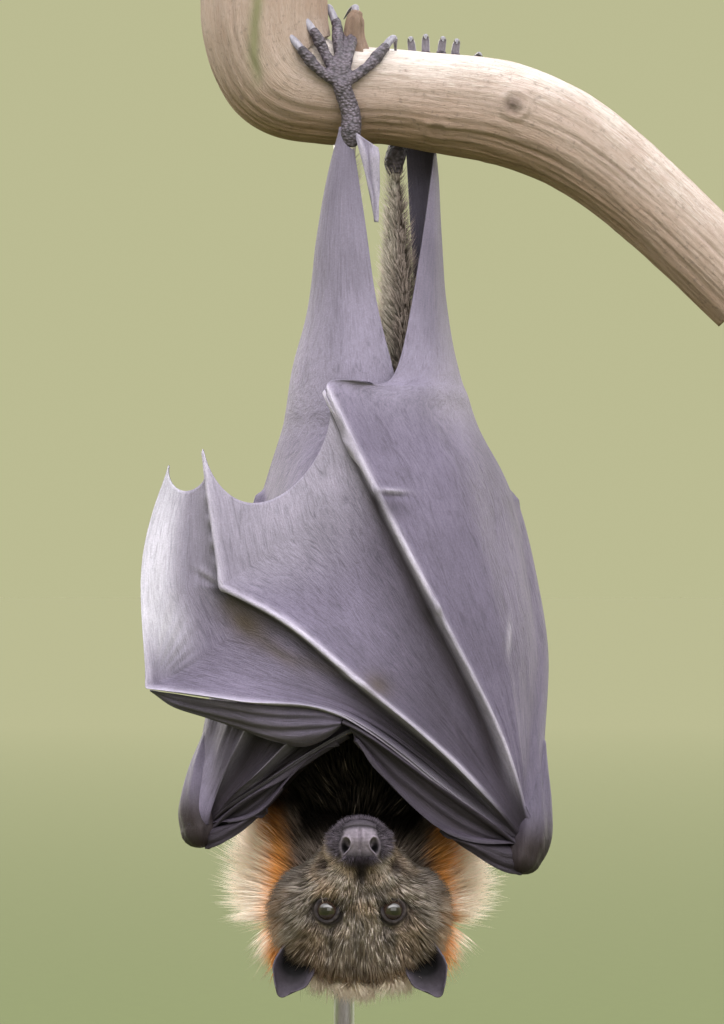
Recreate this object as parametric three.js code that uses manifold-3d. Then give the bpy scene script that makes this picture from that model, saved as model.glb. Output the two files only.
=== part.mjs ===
// Life-size display model of a grey-headed flying fox, a large fruit bat. It hangs head down by its feet from a
// cut length of branch, wrapped in its wings, and a plain stand carries the branch.
// Millimetres, +Z up. The origin is the centre of the stand's underside. The belly faces -Y, so the bat's right
// side is at +X.
import * as THREE from "three";
import { mergeVertices } from "three/addons/utils/BufferGeometryUtils.js";
import Module from "manifold-3d";

const wasm = await Module();
wasm.setup();

// ---- Driving sizes ----

const GAP = 0.3; // clearance between neighbouring pieces
const MEMBRANE = 1.1; // thickness of the wing skin

const BASE_RADIUS = 120;
const BASE_HEIGHT = 16;
const BASE_BEVEL = 3;
const ROD_RADIUS = 4.5;
const ROD_FOOT = [-7, 92, 9];
const ROD_HEAD = [-7, 21, 442];

const BRANCH_Y = 5;
// Centre line of the branch, as x and z, and its radius there.
const BRANCH_LINE = [
  { x: -42, z: 492, r: 27.5 },
  { x: -41, z: 466, r: 27.5 },
  { x: -33, z: 447, r: 26 },
  { x: -14, z: 439.5, r: 22.5 },
  { x: 12, z: 438, r: 21 },
  { x: 36, z: 435, r: 22 },
  { x: 61, z: 431, r: 22.8 },
  { x: 86, z: 421.5, r: 22 },
  { x: 108, z: 407, r: 20.5 },
  { x: 129, z: 389, r: 19.5 },
  { x: 148, z: 371, r: 19 },
  { x: 168, z: 351, r: 18.5 },
];

// The furred body, out to the tips of the coat: a centre line with half widths and half depths along it.
const TRUNK = {
  spine: [[2, 8, 126], [4, 6, 165], [7, 3, 212], [10, 4, 262], [13, 6, 300], [15, 7, 322]],
  halfWidth: [34, 46, 47, 40, 29, 13],
  halfDepth: [28, 38, 36, 31, 25, 12],
  cap: 5,
  steps: 10,
  sides: 16,
};
const NECK = {
  spine: [[2, 10, 152], [1, 13, 124], [0, 8, 98], [0, -8, 80], [0, -20, 75]],
  halfWidth: [38, 50, 54, 45, 28],
  halfDepth: [30, 38, 38, 27, 15],
  cap: 4,
  steps: 8,
  sides: 16,
};

// The head, in its own frame: x to the side, y from nape to nose, z from chin to crown.
const HEAD_CENTRE = [0, -40, 93];
const HEAD_PITCH = 40; // degrees that the muzzle is raised from level towards the chest
const HEAD = {
  spine: [[0, -38, 0], [0, -32, 1], [0, -20, 1], [0, -8, 0], [0, 3, -2], [0, 13, -5], [0, 23, -7], [0, 32, -7], [0, 38, -6]],
  halfWidth: [14, 27, 37, 38.5, 34, 24, 15.5, 13.4, 7.5],
  halfDepth: [11, 21, 29, 27, 21.5, 17, 13, 11, 6.5],
  cap: 2,
  steps: 13,
  sides: 14,
};
const EYE_RADIUS = 5.4;
const EYE = [13.6, 5.5, 11.5];
const EAR_BASE = [26, -19, 17];
const EAR_TIP = [34, -26, 34];
const EAR_WIDTH = 19;
const EAR_CUP = 4.5;
const EAR_THICKNESS = 1.5;

const LEGS = {
  right: { hip: [20, 6, 288], knee: [17, 1, 348], ankle: [15, 19, 411] },
  left: { hip: [0, 4, 290], knee: [-9, -6, 350], ankle: [-4, -21, 422] },
};
const LEG_RADIUS = [17, 12, 6.5];

const FOREARM_RADIUS = [9.5, 5.2, 4.6, 5];
const UPPER_ARM_RADIUS = [9, 6.5, 6];
const DIGIT_RADIUS = [2.6, 2.2, 1.7, 1.1];
const BONE_START = 0.15; // share of a digit over which it swells to its full thickness
const HAND_START = 0.03; // share of a digit that lies inside the wrist

// Each wing: the arm's joints, the joints of its digits from knuckle to tip, and the lines that its skin follows
// between the wrist and the ankle: along the flank, the arm, the outer edge and the belly.
const WINGS = {
  right: {
    shoulder: [42, 13, 156],
    elbow: [64, 1, 263],
    wrist: [70, -29, 110],
    digits: {
      2: [[40, -43, 127], [18, -51, 141], [-2, -57, 160]],
      3: [[40, -46, 139], [-7, -61, 170], [-50, -51, 176.5], [-90.5, -32, 182], [-92.5, -25, 235], [-81.7, -19, 278]],
      4: [[38, -50, 149], [1, -60, 184], [-30, -55, 210], [-58.5, -46, 226], [-66.7, -36, 285]],
      5: [[52, -44, 163], [32, -52, 217], [7, -53, 266], [-14.6, -47, 311]],
    },
    trail: [[5, -44, 313], [15.5, -33, 319], [22.5, -13, 350], [27, 12, 404]],
    scoops: [0.13, 0.05],
    flank: [[38, 24, 146], [33, 31, 172], [30, 35, 205], [27, 32, 255], [25, 25, 296], [26, 20, 308], [27, 18, 318],
      [24, 9, 350], [21, 21, 409]],
    arm: [[52, 16, 146], [58, 15, 172], [62, 12, 205], [61, 8, 258], [48, 10, 296], [43, 11, 308], [40, 12, 318],
      [34, 11, 350], [27, 24, 410]],
    edge: [[71, -28, 110], [75.5, -20, 160], [76, -12, 207], [66, -2, 262], [50, -3, 296], [46, -3, 308],
      [42.5, -2, 318], [37, 1, 350], [33, 15, 410]],
    belly: [[72, -29, 114], [68, -37, 165], [60, -41, 210], [44, -41, 264], [27, -40, 300], [30, -33, 311],
      [33, -23, 319], [32, -10, 350], [31, 10, 408]],
    thumb: [[72, -22, 110], [73, -6, 112], [69, 10, 122]],
  },
  left: {
    shoulder: [-36, 13, 158],
    elbow: [-42, 3, 264],
    wrist: [-68, -19, 121],
    digits: {
      2: [[-44, -34, 132], [-26, -42, 143], [-8, -48, 154]],
      3: [[-44, -36, 139], [-5, -50, 163], [28, -42, 172], [58, -29, 178], [60, -22, 214], [55, -18, 250]],
      4: [[-40, -38, 148], [-5, -48, 184], [20, -42, 204], [45, -31, 216], [48, -25, 262]],
      5: [[-48, -32, 163], [-22, -41, 213], [0, -41, 262], [16, -31, 298]],
    },
    trail: [[16, -30, 306], [14.6, -27, 318], [6, -20, 356], [7, -20, 414]],
    scoops: [0.13, 0.05],
    flank: [[-32, 24, 148], [-24, 33, 172], [-18, 36, 207], [-10, 33, 255], [-6, 25, 290], [-7, 20, 300], [-9, 15, 318],
      [-11, 3, 356], [-7, -18, 424]],
    arm: [[-46, 15, 150], [-51, 14, 174], [-52, 11, 207], [-43, 9, 260], [-32, 9, 290], [-29, 9, 300], [-26, 7, 318],
      [-19, 0, 356], [-12, -19, 424]],
    edge: [[-70, -18, 122], [-63, -11, 166], [-55, -5, 210], [-42, 2, 264], [-33, -1, 292], [-31, -2, 302],
      [-28.5, -3, 318], [-21, -9, 356], [-15, -23, 424]],
    belly: [[-70, -20, 123], [-58, -26, 166], [-43, -32, 212], [-26, -33, 262], [-10, -31, 292], [-9, -30, 303],
      [-8, -28, 318], [-8, -22, 356], [-9, -28, 424]],
    thumb: [[-70, -12, 119], [-71, 4, 120], [-67, 19, 130]],
  },
};
const THUMB_RADIUS = [3.4, 2.8, 2.3];

// Each foot: where the sole starts and ends, and the toes' ends, as x and z seen from the front.
const FEET = {
  left: {
    front: true,
    heel: [-4, 430],
    ball: [-8, 442],
    toes: [[[-18, 449], [-24, 456]], [[-15, 456], [-19, 464]], [[-9, 456], [-10, 469]], [[-5, 455], [-3, 467]],
      [[3, 450], [10, 458]]],
    claws: [[-32, 464, -34, 459], [-25, 471, -28, 465], [-14, 477, -19, 472], [-2, 477, -7, 475], [15, 463, 15.5, 457]],
  },
  right: {
    front: false,
    heel: [19, 421],
    ball: [30, 436],
    toes: [[[26, 446], [23, 455]], [[29, 447], [28.5, 456]], [[33, 447], [35, 456]], [[37, 446], [41, 455]],
      [[40, 440], [47, 449]]],
    claws: [[22, 463, 22, 465], [28.5, 464, 28.5, 466], [36, 463, 36, 465], [42, 462, 42, 464], [51, 456, 53, 459]],
  },
};
const SOLE_RADIUS = 5;
const TOE_RADIUS = [3, 2.5];
const CLAW_RADIUS = 1.9;
const CLAW_SAG = 3; // how far a claw's tip drops round the branch past its top

// ---- Materials ----

function material(color, roughness, metalness = 0) {
  return () => new THREE.MeshStandardMaterial({ color, roughness, metalness });
}
const FUR = material(0x4a443d, 0.95);
const RUFF = material(0xa0622a, 0.95);
const FACE = material(0x8a7c68, 0.95);
const WING_SKIN = material(0x8b8296, 0.6);
const EAR_SKIN = material(0x3c3a45, 0.7);
const FOOT_SKIN = material(0x6e697d, 0.6);
const CLAW_HORN = material(0x3a3742, 0.4);
const EYE_GLOSS = material(0x3a1c0c, 0.1);
const BARK = material(0xb9a08c, 0.85);
const BASE_WOOD = material(0x3b2a20, 0.5);
const ROD_STEEL = material(0x9a9c9e, 0.35, 1);

// ---- Curves and closed surfaces ----

const vector = (p) => new THREE.Vector3(...p);
const through = (points) => new THREE.CatmullRomCurve3(points.map(vector), false, "catmullrom", 0.5);

// A value that runs smoothly through evenly spaced stations.
function blend(values, t) {
  const last = values.length - 1;
  const i = Math.min(Math.floor(t * last), last - 1);
  const f = t * last - i;
  const a = values[Math.max(i - 1, 0)];
  const b = values[i];
  const c = values[i + 1];
  const d = values[Math.min(i + 2, last)];
  return b + 0.5 * f * (c - a + f * (2 * a - 5 * b + 4 * c - d + f * (3 * (b - c) + d - a)));
}

// A closed mesh from points and faces, turned to face out.
function closed(points, faces) {
  let volume = 0;
  for (const [a, b, c] of faces) {
    volume += points[a].dot(points[b].clone().cross(points[c]));
  }
  const index = faces.flatMap(([a, b, c]) => (volume < 0 ? [a, c, b] : [a, b, c]));
  const geometry = new THREE.BufferGeometry();
  geometry.setAttribute("position", new THREE.Float32BufferAttribute(points.flatMap((p) => p.toArray()), 3));
  geometry.setIndex(index);
  return geometry;
}

// Rings of points joined in order, with a pole closing each end.
function ringed(rings, startPole, endPole) {
  const sides = rings[0].length;
  const points = [...rings.flat(), startPole, endPole];
  const faces = [];
  for (let r = 0; r + 1 < rings.length; r++) {
    for (let s = 0; s < sides; s++) {
      const a = r * sides + s;
      const b = r * sides + ((s + 1) % sides);
      faces.push([a, b, b + sides], [a, b + sides, a + sides]);
    }
  }
  const first = points.length - 2;
  const top = (rings.length - 1) * sides;
  for (let s = 0; s < sides; s++) {
    const next = (s + 1) % sides;
    faces.push([first, next, s], [first + 1, top + s, top + next]);
  }
  return closed(points, faces);
}

// A body of oval sections along a spine, its width kept level with the x axis.
function loft(shape, grow = 0) {
  const curve = through(shape.spine);
  const rings = [];
  for (let i = 0; i <= shape.steps; i++) {
    const t = i / shape.steps;
    const centre = curve.getPoint(t);
    const along = curve.getTangent(t);
    const wide = new THREE.Vector3(1, 0, 0).addScaledVector(along, -along.x).normalize();
    const deep = along.clone().cross(wide);
    const halfWidth = blend(shape.halfWidth, t) + grow;
    const halfDepth = blend(shape.halfDepth, t) + grow;
    const ring = [];
    for (let s = 0; s < shape.sides; s++) {
      const angle = (2 * Math.PI * s) / shape.sides;
      ring.push(
        centre.clone()
          .addScaledVector(wide, halfWidth * Math.cos(angle))
          .addScaledVector(deep, halfDepth * Math.sin(angle)),
      );
    }
    rings.push(ring);
  }
  const start = curve.getPoint(0).addScaledVector(curve.getTangent(0), -shape.cap - grow);
  const end = curve.getPoint(1).addScaledVector(curve.getTangent(1), shape.cap + grow);
  return ringed(rings, start, end);
}

// A round tube along a few points, its radius following the stations given, with a rounded or flat end.
function tube(points, radii, { steps = 8, sides = 7, grow = 0, round = 0.6 } = {}) {
  const curve = through(points);
  const frames = curve.computeFrenetFrames(steps, false);
  const rings = [];
  for (let i = 0; i <= steps; i++) {
    const centre = curve.getPointAt(i / steps);
    const radius = blend(radii, i / steps) + grow;
    const ring = [];
    for (let s = 0; s < sides; s++) {
      const angle = (2 * Math.PI * s) / sides;
      ring.push(
        centre.clone()
          .addScaledVector(frames.normals[i], radius * Math.cos(angle))
          .addScaledVector(frames.binormals[i], radius * Math.sin(angle)),
      );
    }
    rings.push(ring);
  }
  const start = curve.getPointAt(0).addScaledVector(curve.getTangentAt(0), -radii[0] * round - grow);
  const endRadius = radii[radii.length - 1];
  const end = curve.getPointAt(1).addScaledVector(curve.getTangentAt(1), endRadius * round + grow);
  return ringed(rings, start, end);
}

// A thin solid skin over a grid of points, its thickness given for each row and column.
function sheet(grid, thickness) {
  const rows = grid.length;
  const columns = grid[0].length;
  const at = (r, c) => grid[THREE.MathUtils.clamp(r, 0, rows - 1)][THREE.MathUtils.clamp(c, 0, columns - 1)];
  const upper = [];
  const lower = [];
  for (let r = 0; r < rows; r++) {
    for (let c = 0; c < columns; c++) {
      const down = at(r + 1, c).clone().sub(at(r - 1, c));
      const across = at(r, c + 1).clone().sub(at(r, c - 1));
      const normal = down.cross(across).normalize();
      const half = thickness(r, c) / 2;
      upper.push(at(r, c).clone().addScaledVector(normal, half));
      lower.push(at(r, c).clone().addScaledVector(normal, -half));
    }
  }
  const faces = [];
  const under = rows * columns;
  const quad = (a, b, c, d) => faces.push([a, b, c], [a, c, d]);
  for (let r = 0; r + 1 < rows; r++) {
    for (let c = 0; c + 1 < columns; c++) {
      const a = r * columns + c;
      quad(a, a + 1, a + columns + 1, a + columns);
      quad(under + a, under + a + columns, under + a + columns + 1, under + a + 1);
    }
  }
  const rim = [];
  for (let c = 0; c < columns - 1; c++) rim.push(c);
  for (let r = 0; r < rows - 1; r++) rim.push(r * columns + columns - 1);
  for (let c = columns - 1; c > 0; c--) rim.push((rows - 1) * columns + c);
  for (let r = rows - 1; r > 0; r--) rim.push(r * columns);
  rim.forEach((a, i) => {
    const b = rim[(i + 1) % rim.length];
    quad(a, under + a, under + b, b);
  });
  return closed([...upper, ...lower], faces);
}

// ---- Joining and cutting ----

function solid(geometry) {
  const bare = geometry.clone();
  bare.deleteAttribute("normal");
  bare.deleteAttribute("uv");
  const merged = mergeVertices(bare, 1e-4);
  return new wasm.Manifold(
    new wasm.Mesh({
      numProp: 3,
      vertProperties: merged.attributes.position.array,
      triVerts: new Uint32Array(merged.index.array),
    }),
  );
}

const joined = (geometries) => geometries.map(solid).reduce((whole, piece) => whole.add(piece));
const cut = (body, cutters) => cutters.reduce((left, cutter) => left.subtract(cutter), body);

// The biggest body of a solid, without the crumbs that a cut leaves.
function main(body) {
  return body.decompose().reduce((best, piece) => (piece.volume() > best.volume() ? piece : best));
}

const bat = new THREE.Group();

function add(name, body, makeMaterial) {
  const mesh = main(body).getMesh();
  const geometry = new THREE.BufferGeometry();
  const positions = [];
  for (let i = 0; i < mesh.numVert; i++) {
    positions.push(...mesh.vertProperties.subarray(i * mesh.numProp, i * mesh.numProp + 3));
  }
  geometry.setAttribute("position", new THREE.Float32BufferAttribute(positions, 3));
  geometry.setIndex(new THREE.BufferAttribute(mesh.triVerts, 1));
  geometry.computeVertexNormals();
  const node = new THREE.Mesh(geometry, makeMaterial());
  node.name = name;
  bat.add(node);
}

// ---- The perch and its stand ----

const branchXs = BRANCH_LINE.map((p) => [p.x, BRANCH_Y, p.z]);
const branchRadii = BRANCH_LINE.map((p) => p.r);

function branch(grow = 0) {
  const limb = tube(branchXs, branchRadii, { steps: 17, sides: 11, grow, round: 0 });
  const stub = tube([[-2, BRANCH_Y - 3, 452], [-3, BRANCH_Y - 5, 466], [-1.5, BRANCH_Y - 6, 473]], [7, 4, 2.6],
    { steps: 3, grow, round: 0.3 });
  const knot = tube([[64, BRANCH_Y - 16, 436], [67, BRANCH_Y - 22, 438]], [8, 5], { steps: 2, grow, round: 0.2 });
  return joined([limb, stub, knot]);
}

// Depth of the branch's near or far face at a place seen from the front, plus a lift away from the wood.
function faceOfBranch(x, z, lift, front) {
  const curve = through(branchXs);
  const samples = 80;
  let reach = 0;
  for (let i = 0; i <= samples; i++) {
    const t = i / samples;
    const centre = curve.getPoint(t);
    const radius = blend(branchRadii, t) + lift;
    const rest = radius * radius - (x - centre.x) ** 2 - (z - centre.z) ** 2;
    reach = Math.max(reach, Math.sqrt(Math.max(rest, 0)));
  }
  return front ? BRANCH_Y - reach : BRANCH_Y + reach;
}

const rod = (grow = 0) => solid(tube([ROD_FOOT, ROD_HEAD], [ROD_RADIUS, ROD_RADIUS], { steps: 1, sides: 10, grow, round: 0 }));

const baseProfile = [
  [0, 0],
  [BASE_RADIUS - 1, 0],
  [BASE_RADIUS, 1],
  [BASE_RADIUS, BASE_HEIGHT - BASE_BEVEL],
  [BASE_RADIUS - BASE_BEVEL, BASE_HEIGHT],
  [0, BASE_HEIGHT],
].map(([r, z]) => new THREE.Vector2(r, z));
const baseShape = new THREE.LatheGeometry(baseProfile, 24).rotateX(Math.PI / 2);

add("stand_base", cut(solid(baseShape), [rod(GAP)]), BASE_WOOD);
add("stand_rod", rod(), ROD_STEEL);
add("perch_branch", cut(branch(), [rod(GAP)]), BARK);

// ---- Head ----

const pitch = THREE.MathUtils.degToRad(HEAD_PITCH);
const headFrame = new THREE.Matrix4()
  .makeBasis(
    new THREE.Vector3(1, 0, 0),
    new THREE.Vector3(0, -Math.cos(pitch), Math.sin(pitch)),
    new THREE.Vector3(0, -Math.sin(pitch), -Math.cos(pitch)),
  )
  .setPosition(...HEAD_CENTRE);
const inHead = (geometry) => solid(geometry.applyMatrix4(headFrame));

function eyeball(side, grow = 0) {
  const ball = new THREE.SphereGeometry(EYE_RADIUS + grow, 10, 7).translate(EYE[0] * side, EYE[1], EYE[2]);
  return inHead(ball);
}

// An ear is a leaf of skin, cupped towards the nose.
function ear(side) {
  const base = vector(EAR_BASE);
  const tip = vector(EAR_TIP);
  const along = tip.clone().sub(base);
  const forward = new THREE.Vector3(-0.35, 1, 0.15).normalize();
  const across = along.clone().normalize().cross(forward);
  const rows = 6;
  const columns = 6;
  const grid = [];
  for (let r = 0; r < rows; r++) {
    const t = r / (rows - 1);
    const half = (EAR_WIDTH / 2) * (0.2 + 0.8 * Math.sin(Math.PI * Math.min(1, 0.28 + 0.66 * t)) ** 0.7);
    const row = [];
    for (let c = 0; c < columns; c++) {
      const s = (2 * c) / (columns - 1) - 1;
      const cup = EAR_CUP * (s * s - 0.6) * (1 - 0.6 * t);
      const point = base.clone()
        .addScaledVector(along, t - 0.12 * s * s * t)
        .addScaledVector(across, s * half)
        .addScaledVector(forward, cup);
      point.x *= side;
      row.push(point);
    }
    grid.push(row);
  }
  return inHead(sheet(grid, () => EAR_THICKNESS));
}

const head = (grow = 0) => inHead(loft(HEAD, grow));
const SIDES = [["right", 1], ["left", -1]];
for (const [name, side] of SIDES) {
  add("eye_" + name, eyeball(side), EYE_GLOSS);
  add("ear_" + name, cut(ear(side), [head(GAP)]), EAR_SKIN);
}
add("head", cut(head(), [eyeball(1, GAP), eyeball(-1, GAP)]), FACE);

// ---- Neck, trunk and legs ----

const neck = (grow = 0) => solid(loft(NECK, grow));
const trunk = (grow = 0) => solid(loft(TRUNK, grow));

function leg(name, grow = 0) {
  const { hip, knee, ankle } = LEGS[name];
  return solid(tube([hip, knee, ankle], LEG_RADIUS, { steps: 8, sides: 10, grow, round: 0.3 }));
}

add("neck", cut(neck(), [head(GAP), ear(1), ear(-1)]), RUFF);
add("trunk", cut(trunk(), [neck(GAP)]), FUR);
add("leg_right", cut(leg("right"), [trunk(GAP)]), FUR);
add("leg_left", cut(leg("left"), [trunk(GAP), leg("right", GAP)]), FUR);

// ---- Feet ----

function sole(name, grow = 0) {
  const { heel, ball, front } = FEET[name];
  const place = ([x, z], lift) => [x, faceOfBranch(x, z, lift, front), z];
  const ankle = LEGS[name].ankle;
  return tube([ankle, place(heel, SOLE_RADIUS), place(ball, TOE_RADIUS[0])], [5, SOLE_RADIUS, 4.5],
    { steps: 4, sides: 7, grow });
}

function toes(name) {
  const { ball, front, toes: ends, claws } = FEET[name];
  return ends.map((joints, i) => {
    const on = ([x, z], lift) => [x, faceOfBranch(x, z, lift, front), z];
    const points = [on(ball, TOE_RADIUS[0]), ...joints.map((joint) => on(joint, TOE_RADIUS[1]))];
    const last = vector(points[points.length - 1]);
    const [topX, topZ, tipX, tipZ] = claws[i];
    const over = front ? 1 : -1;
    const crest = new THREE.Vector3(topX, last.y + over * 3, topZ);
    const tip = new THREE.Vector3(tipX, last.y + over * (3 + CLAW_SAG * 2), tipZ - CLAW_SAG);
    const start = last.clone().addScaledVector(crest.clone().sub(last).normalize(), GAP + TOE_RADIUS[1] * 0.6);
    return { toe: points, claw: [start.toArray(), crest.toArray(), tip.toArray()] };
  });
}

for (const [name] of SIDES) {
  const parts = toes(name);
  const wood = branch(GAP);
  const tubes = parts.map(({ toe }) => tube(toe, TOE_RADIUS, { steps: 3, sides: 5 }));
  const foot = cut(joined([sole(name), ...tubes]), [wood, leg(name, GAP)]);
  add("foot_" + name, foot, FOOT_SKIN);
  parts.forEach(({ claw }, i) => {
    const hook = solid(tube(claw, [CLAW_RADIUS, CLAW_RADIUS * 0.8, 0.5], { steps: 4, sides: 5, round: 0 }));
    const grown = solid(tube(parts[i].toe, TOE_RADIUS, { steps: 3, sides: 5, grow: GAP }));
    add("claw_" + name + "_" + (i + 1), cut(hook, [wood, grown]), CLAW_HORN);
  });
}

// ---- Wings ----

// Skin from the flank round the arm and the belly to the fifth digit and the free edge above it.
function cloak(lines) {
  const curves = lines.map(through);
  const rows = 12;
  const stops = [0, 0.18, 0.34, 0.5, 0.66, 0.82, 0.97, 1];
  const grid = [];
  for (let r = 0; r <= rows; r++) {
    const across = new THREE.CatmullRomCurve3(curves.map((curve) => curve.getPoint(r / rows)), false, "centripetal");
    grid.push(stops.map((u) => across.getPoint(u)));
  }
  const last = stops.length - 1;
  return sheet(grid, (r, c) => (c === last ? bone(r / rows) : MEMBRANE));
}

// Thickness of the skin over a digit, from the wrist to the tip.
function bone(t) {
  return Math.max(MEMBRANE, 2 * blend(DIGIT_RADIUS, t) * Math.min(1, t / BONE_START));
}

// The hand's skin: its digits are ridges in it, and its free edge is scooped out between their tips.
function hand(digits, scoops) {
  const curves = digits.map(through);
  const rows = 8;
  const stops = [0, 0.07, 0.5, 0.93];
  const grid = [];
  for (let r = 0; r <= rows; r++) {
    const row = [];
    for (let k = 0; k + 1 < curves.length; k++) {
      for (const s of stops) {
        const scoop = scoops[k] * (4 * s * (1 - s)) ** 0.6;
        const t = HAND_START + (1 - HAND_START - scoop) * (r / rows);
        row.push(curves[k].getPoint(t).lerp(curves[k + 1].getPoint(t), s));
      }
    }
    row.push(curves[curves.length - 1].getPoint(HAND_START + (1 - HAND_START) * (r / rows)));
    grid.push(row);
  }
  return sheet(grid, (r, c) => (c % stops.length === 0 ? bone(r / rows) : MEMBRANE));
}

function wing(name) {
  const w = WINGS[name];
  const digit = (k) => [w.wrist, ...w.digits[k]];
  const forearm = [w.wrist, w.edge[1], w.edge[2], w.elbow];
  return joined([
    cloak([w.flank, w.arm, w.edge, w.belly, [...digit(5), ...w.trail]]),
    hand([digit(5), digit(4), digit(3)], w.scoops),
    hand([digit(3).slice(0, 3), digit(2)], [0]),
    tube(forearm, FOREARM_RADIUS, { steps: 5, sides: 7, round: 0.8 }),
    tube([w.elbow, w.arm[2], w.shoulder], [...UPPER_ARM_RADIUS].reverse(), { steps: 4, sides: 6 }),
  ]);
}

const thumb = (name, grow = 0) => solid(tube(WINGS[name].thumb, THUMB_RADIUS, { steps: 5, sides: 8, grow }));
const around = [trunk(GAP), neck(GAP), leg("right", GAP), leg("left", GAP)];
for (const [name, side] of SIDES) {
  const body = wing(name);
  const foot = solid(sole(name, GAP));
  add("wing_" + name, cut(body, [...around, thumb(name, GAP), foot]), WING_SKIN);
  add("thumb_" + name, cut(thumb(name), [neck(GAP)]), FOOT_SKIN);
  const end = vector(WINGS[name].thumb[2]);
  const from = end.clone().sub(vector(WINGS[name].thumb[1])).normalize();
  const root = end.clone().addScaledVector(from, THUMB_RADIUS[2] * 0.6 + GAP);
  const bend = root.clone().addScaledVector(from, 4).add(new THREE.Vector3(-side * 2, 0, 0));
  const point = bend.clone().add(new THREE.Vector3(-side * 4, 1, -3));
  const hook = tube([root, bend, point].map((p) => p.toArray()), [2.2, 1.7, 0.5], { steps: 4, sides: 6, round: 0 });
  add("thumb_claw_" + name, cut(solid(hook), [thumb(name, GAP), body]), CLAW_HORN);
}

export default bat;
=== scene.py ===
"""Looks of the life-size grey-headed flying fox that hangs from a cut branch on a display stand.

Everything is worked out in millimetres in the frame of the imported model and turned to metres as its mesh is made.
The bat's belly faces -Y and its right side is at +X.
"""

import math

import bmesh
import bpy
import numpy as np
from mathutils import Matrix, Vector
from mathutils.bvhtree import BVHTree


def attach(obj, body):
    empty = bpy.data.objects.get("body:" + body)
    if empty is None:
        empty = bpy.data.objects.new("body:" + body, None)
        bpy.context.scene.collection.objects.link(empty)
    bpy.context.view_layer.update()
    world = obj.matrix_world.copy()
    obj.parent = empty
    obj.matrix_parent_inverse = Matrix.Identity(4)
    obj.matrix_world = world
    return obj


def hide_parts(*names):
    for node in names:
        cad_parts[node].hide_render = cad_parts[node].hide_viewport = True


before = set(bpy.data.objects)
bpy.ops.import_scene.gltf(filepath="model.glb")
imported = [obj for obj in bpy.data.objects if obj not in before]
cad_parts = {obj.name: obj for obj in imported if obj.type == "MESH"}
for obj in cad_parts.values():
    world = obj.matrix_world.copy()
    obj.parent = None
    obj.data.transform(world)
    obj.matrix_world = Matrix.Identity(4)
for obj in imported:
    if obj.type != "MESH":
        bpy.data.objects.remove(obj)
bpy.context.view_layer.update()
MM = 0.001
rng = np.random.default_rng(11)


# ---- Curves and grids ----


def spline(points, t):
    """Points of a Catmull-Rom curve through evenly spaced stations, at parameters from 0 to 1."""
    p = np.asarray(points, float)
    p = np.vstack([2 * p[0] - p[1], p, 2 * p[-1] - p[-2]])
    last = len(p) - 3
    x = np.clip(np.asarray(t, float), 0, 1) * last
    i = np.minimum(x.astype(int), last - 1)
    f = (x - i)[..., None]
    a, b, c, d = p[i], p[i + 1], p[i + 2], p[i + 3]
    return b + 0.5 * f * (c - a + f * (2 * a - 5 * b + 4 * c - d + f * (3 * (b - c) + d - a)))


def blend(values, t):
    """A value that runs smoothly through evenly spaced stations."""
    v = np.asarray(values, float)
    v = np.concatenate([[v[0]], v, [v[-1]]])
    last = len(v) - 3
    x = np.clip(np.asarray(t, float), 0, 1) * last
    i = np.minimum(x.astype(int), last - 1)
    f = x - i
    a, b, c, d = v[i], v[i + 1], v[i + 2], v[i + 3]
    return b + 0.5 * f * (c - a + f * (2 * a - 5 * b + 4 * c - d + f * (3 * (b - c) + d - a)))


def across(lines, u):
    """Centripetal curve through matching points of several lines: lines is (k, rows, 3), the result (rows, u, 3)."""
    p = np.asarray(lines, float)
    p = np.concatenate([[2 * p[0] - p[1]], p, [2 * p[-1] - p[-2]]])
    step = np.maximum(np.sqrt(np.linalg.norm(np.diff(p, axis=0), axis=2)), 1e-4)
    last = len(p) - 3
    out = []
    for value in np.asarray(u, float):
        x = value * last
        i = min(int(x), last - 1)
        f = x - i
        d0, d1, d2 = (step[i + k][:, None] for k in range(3))
        a, b, c, d = p[i], p[i + 1], p[i + 2], p[i + 3]
        m1 = ((b - a) / d0 - (c - a) / (d0 + d1) + (c - b) / d1) * d1
        m2 = ((c - b) / d1 - (d - b) / (d1 + d2) + (d - c) / d2) * d1
        out.append(b + f * (m1 + f * (-3 * b + 3 * c - 2 * m1 - m2 + f * (2 * b - 2 * c + m1 + m2))))
    return np.stack(out, axis=1)


def unit(v):
    """Vectors at length 1, along the last axis."""
    return v / np.maximum(np.linalg.norm(v, axis=-1, keepdims=True), 1e-9)


def smooth(x, low, high):
    """0 below low, 1 above high, with an S between."""
    f = np.clip((x - low) / (high - low), 0, 1)
    return f * f * (3 - 2 * f)


def hump(x, centre, width):
    """A bell of height 1."""
    return np.exp(-(((x - centre) / width) ** 2))


def mixed(a, b, amount):
    """Colours between a and b, either of which may be one colour or many."""
    amount = np.asarray(amount)[..., None]
    return np.asarray(a) * (1 - amount) + np.asarray(b) * amount


def lattice_noise(p, seed=0):
    """Smooth noise from -1 to 1 at points of any shape (..., 3), one unit across."""
    p = np.asarray(p, float)
    base = np.floor(p).astype(np.int64)
    f = p - base
    f = f * f * (3 - 2 * f)
    total = np.zeros(p.shape[:-1])
    for dx in (0, 1):
        for dy in (0, 1):
            for dz in (0, 1):
                q = base + np.array([dx, dy, dz])
                h = q[..., 0] * 374761393 + q[..., 1] * 668265263 + q[..., 2] * 2147483647 + seed * 974634777
                h = (h ^ (h >> 13)) * 1274126177
                h = ((h ^ (h >> 16)) & 0xFFFF) / 32767.5 - 1
                wx = f[..., 0] if dx else 1 - f[..., 0]
                wy = f[..., 1] if dy else 1 - f[..., 1]
                wz = f[..., 2] if dz else 1 - f[..., 2]
                total += h * wx * wy * wz
    return total


def fractal(p, octaves=4, seed=0):
    """Noise summed over octaves, each half the size of the last."""
    return sum(lattice_noise(p * 2.0**k, seed + k) / 2.0**k for k in range(octaves))


# ---- Meshes ----


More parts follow.
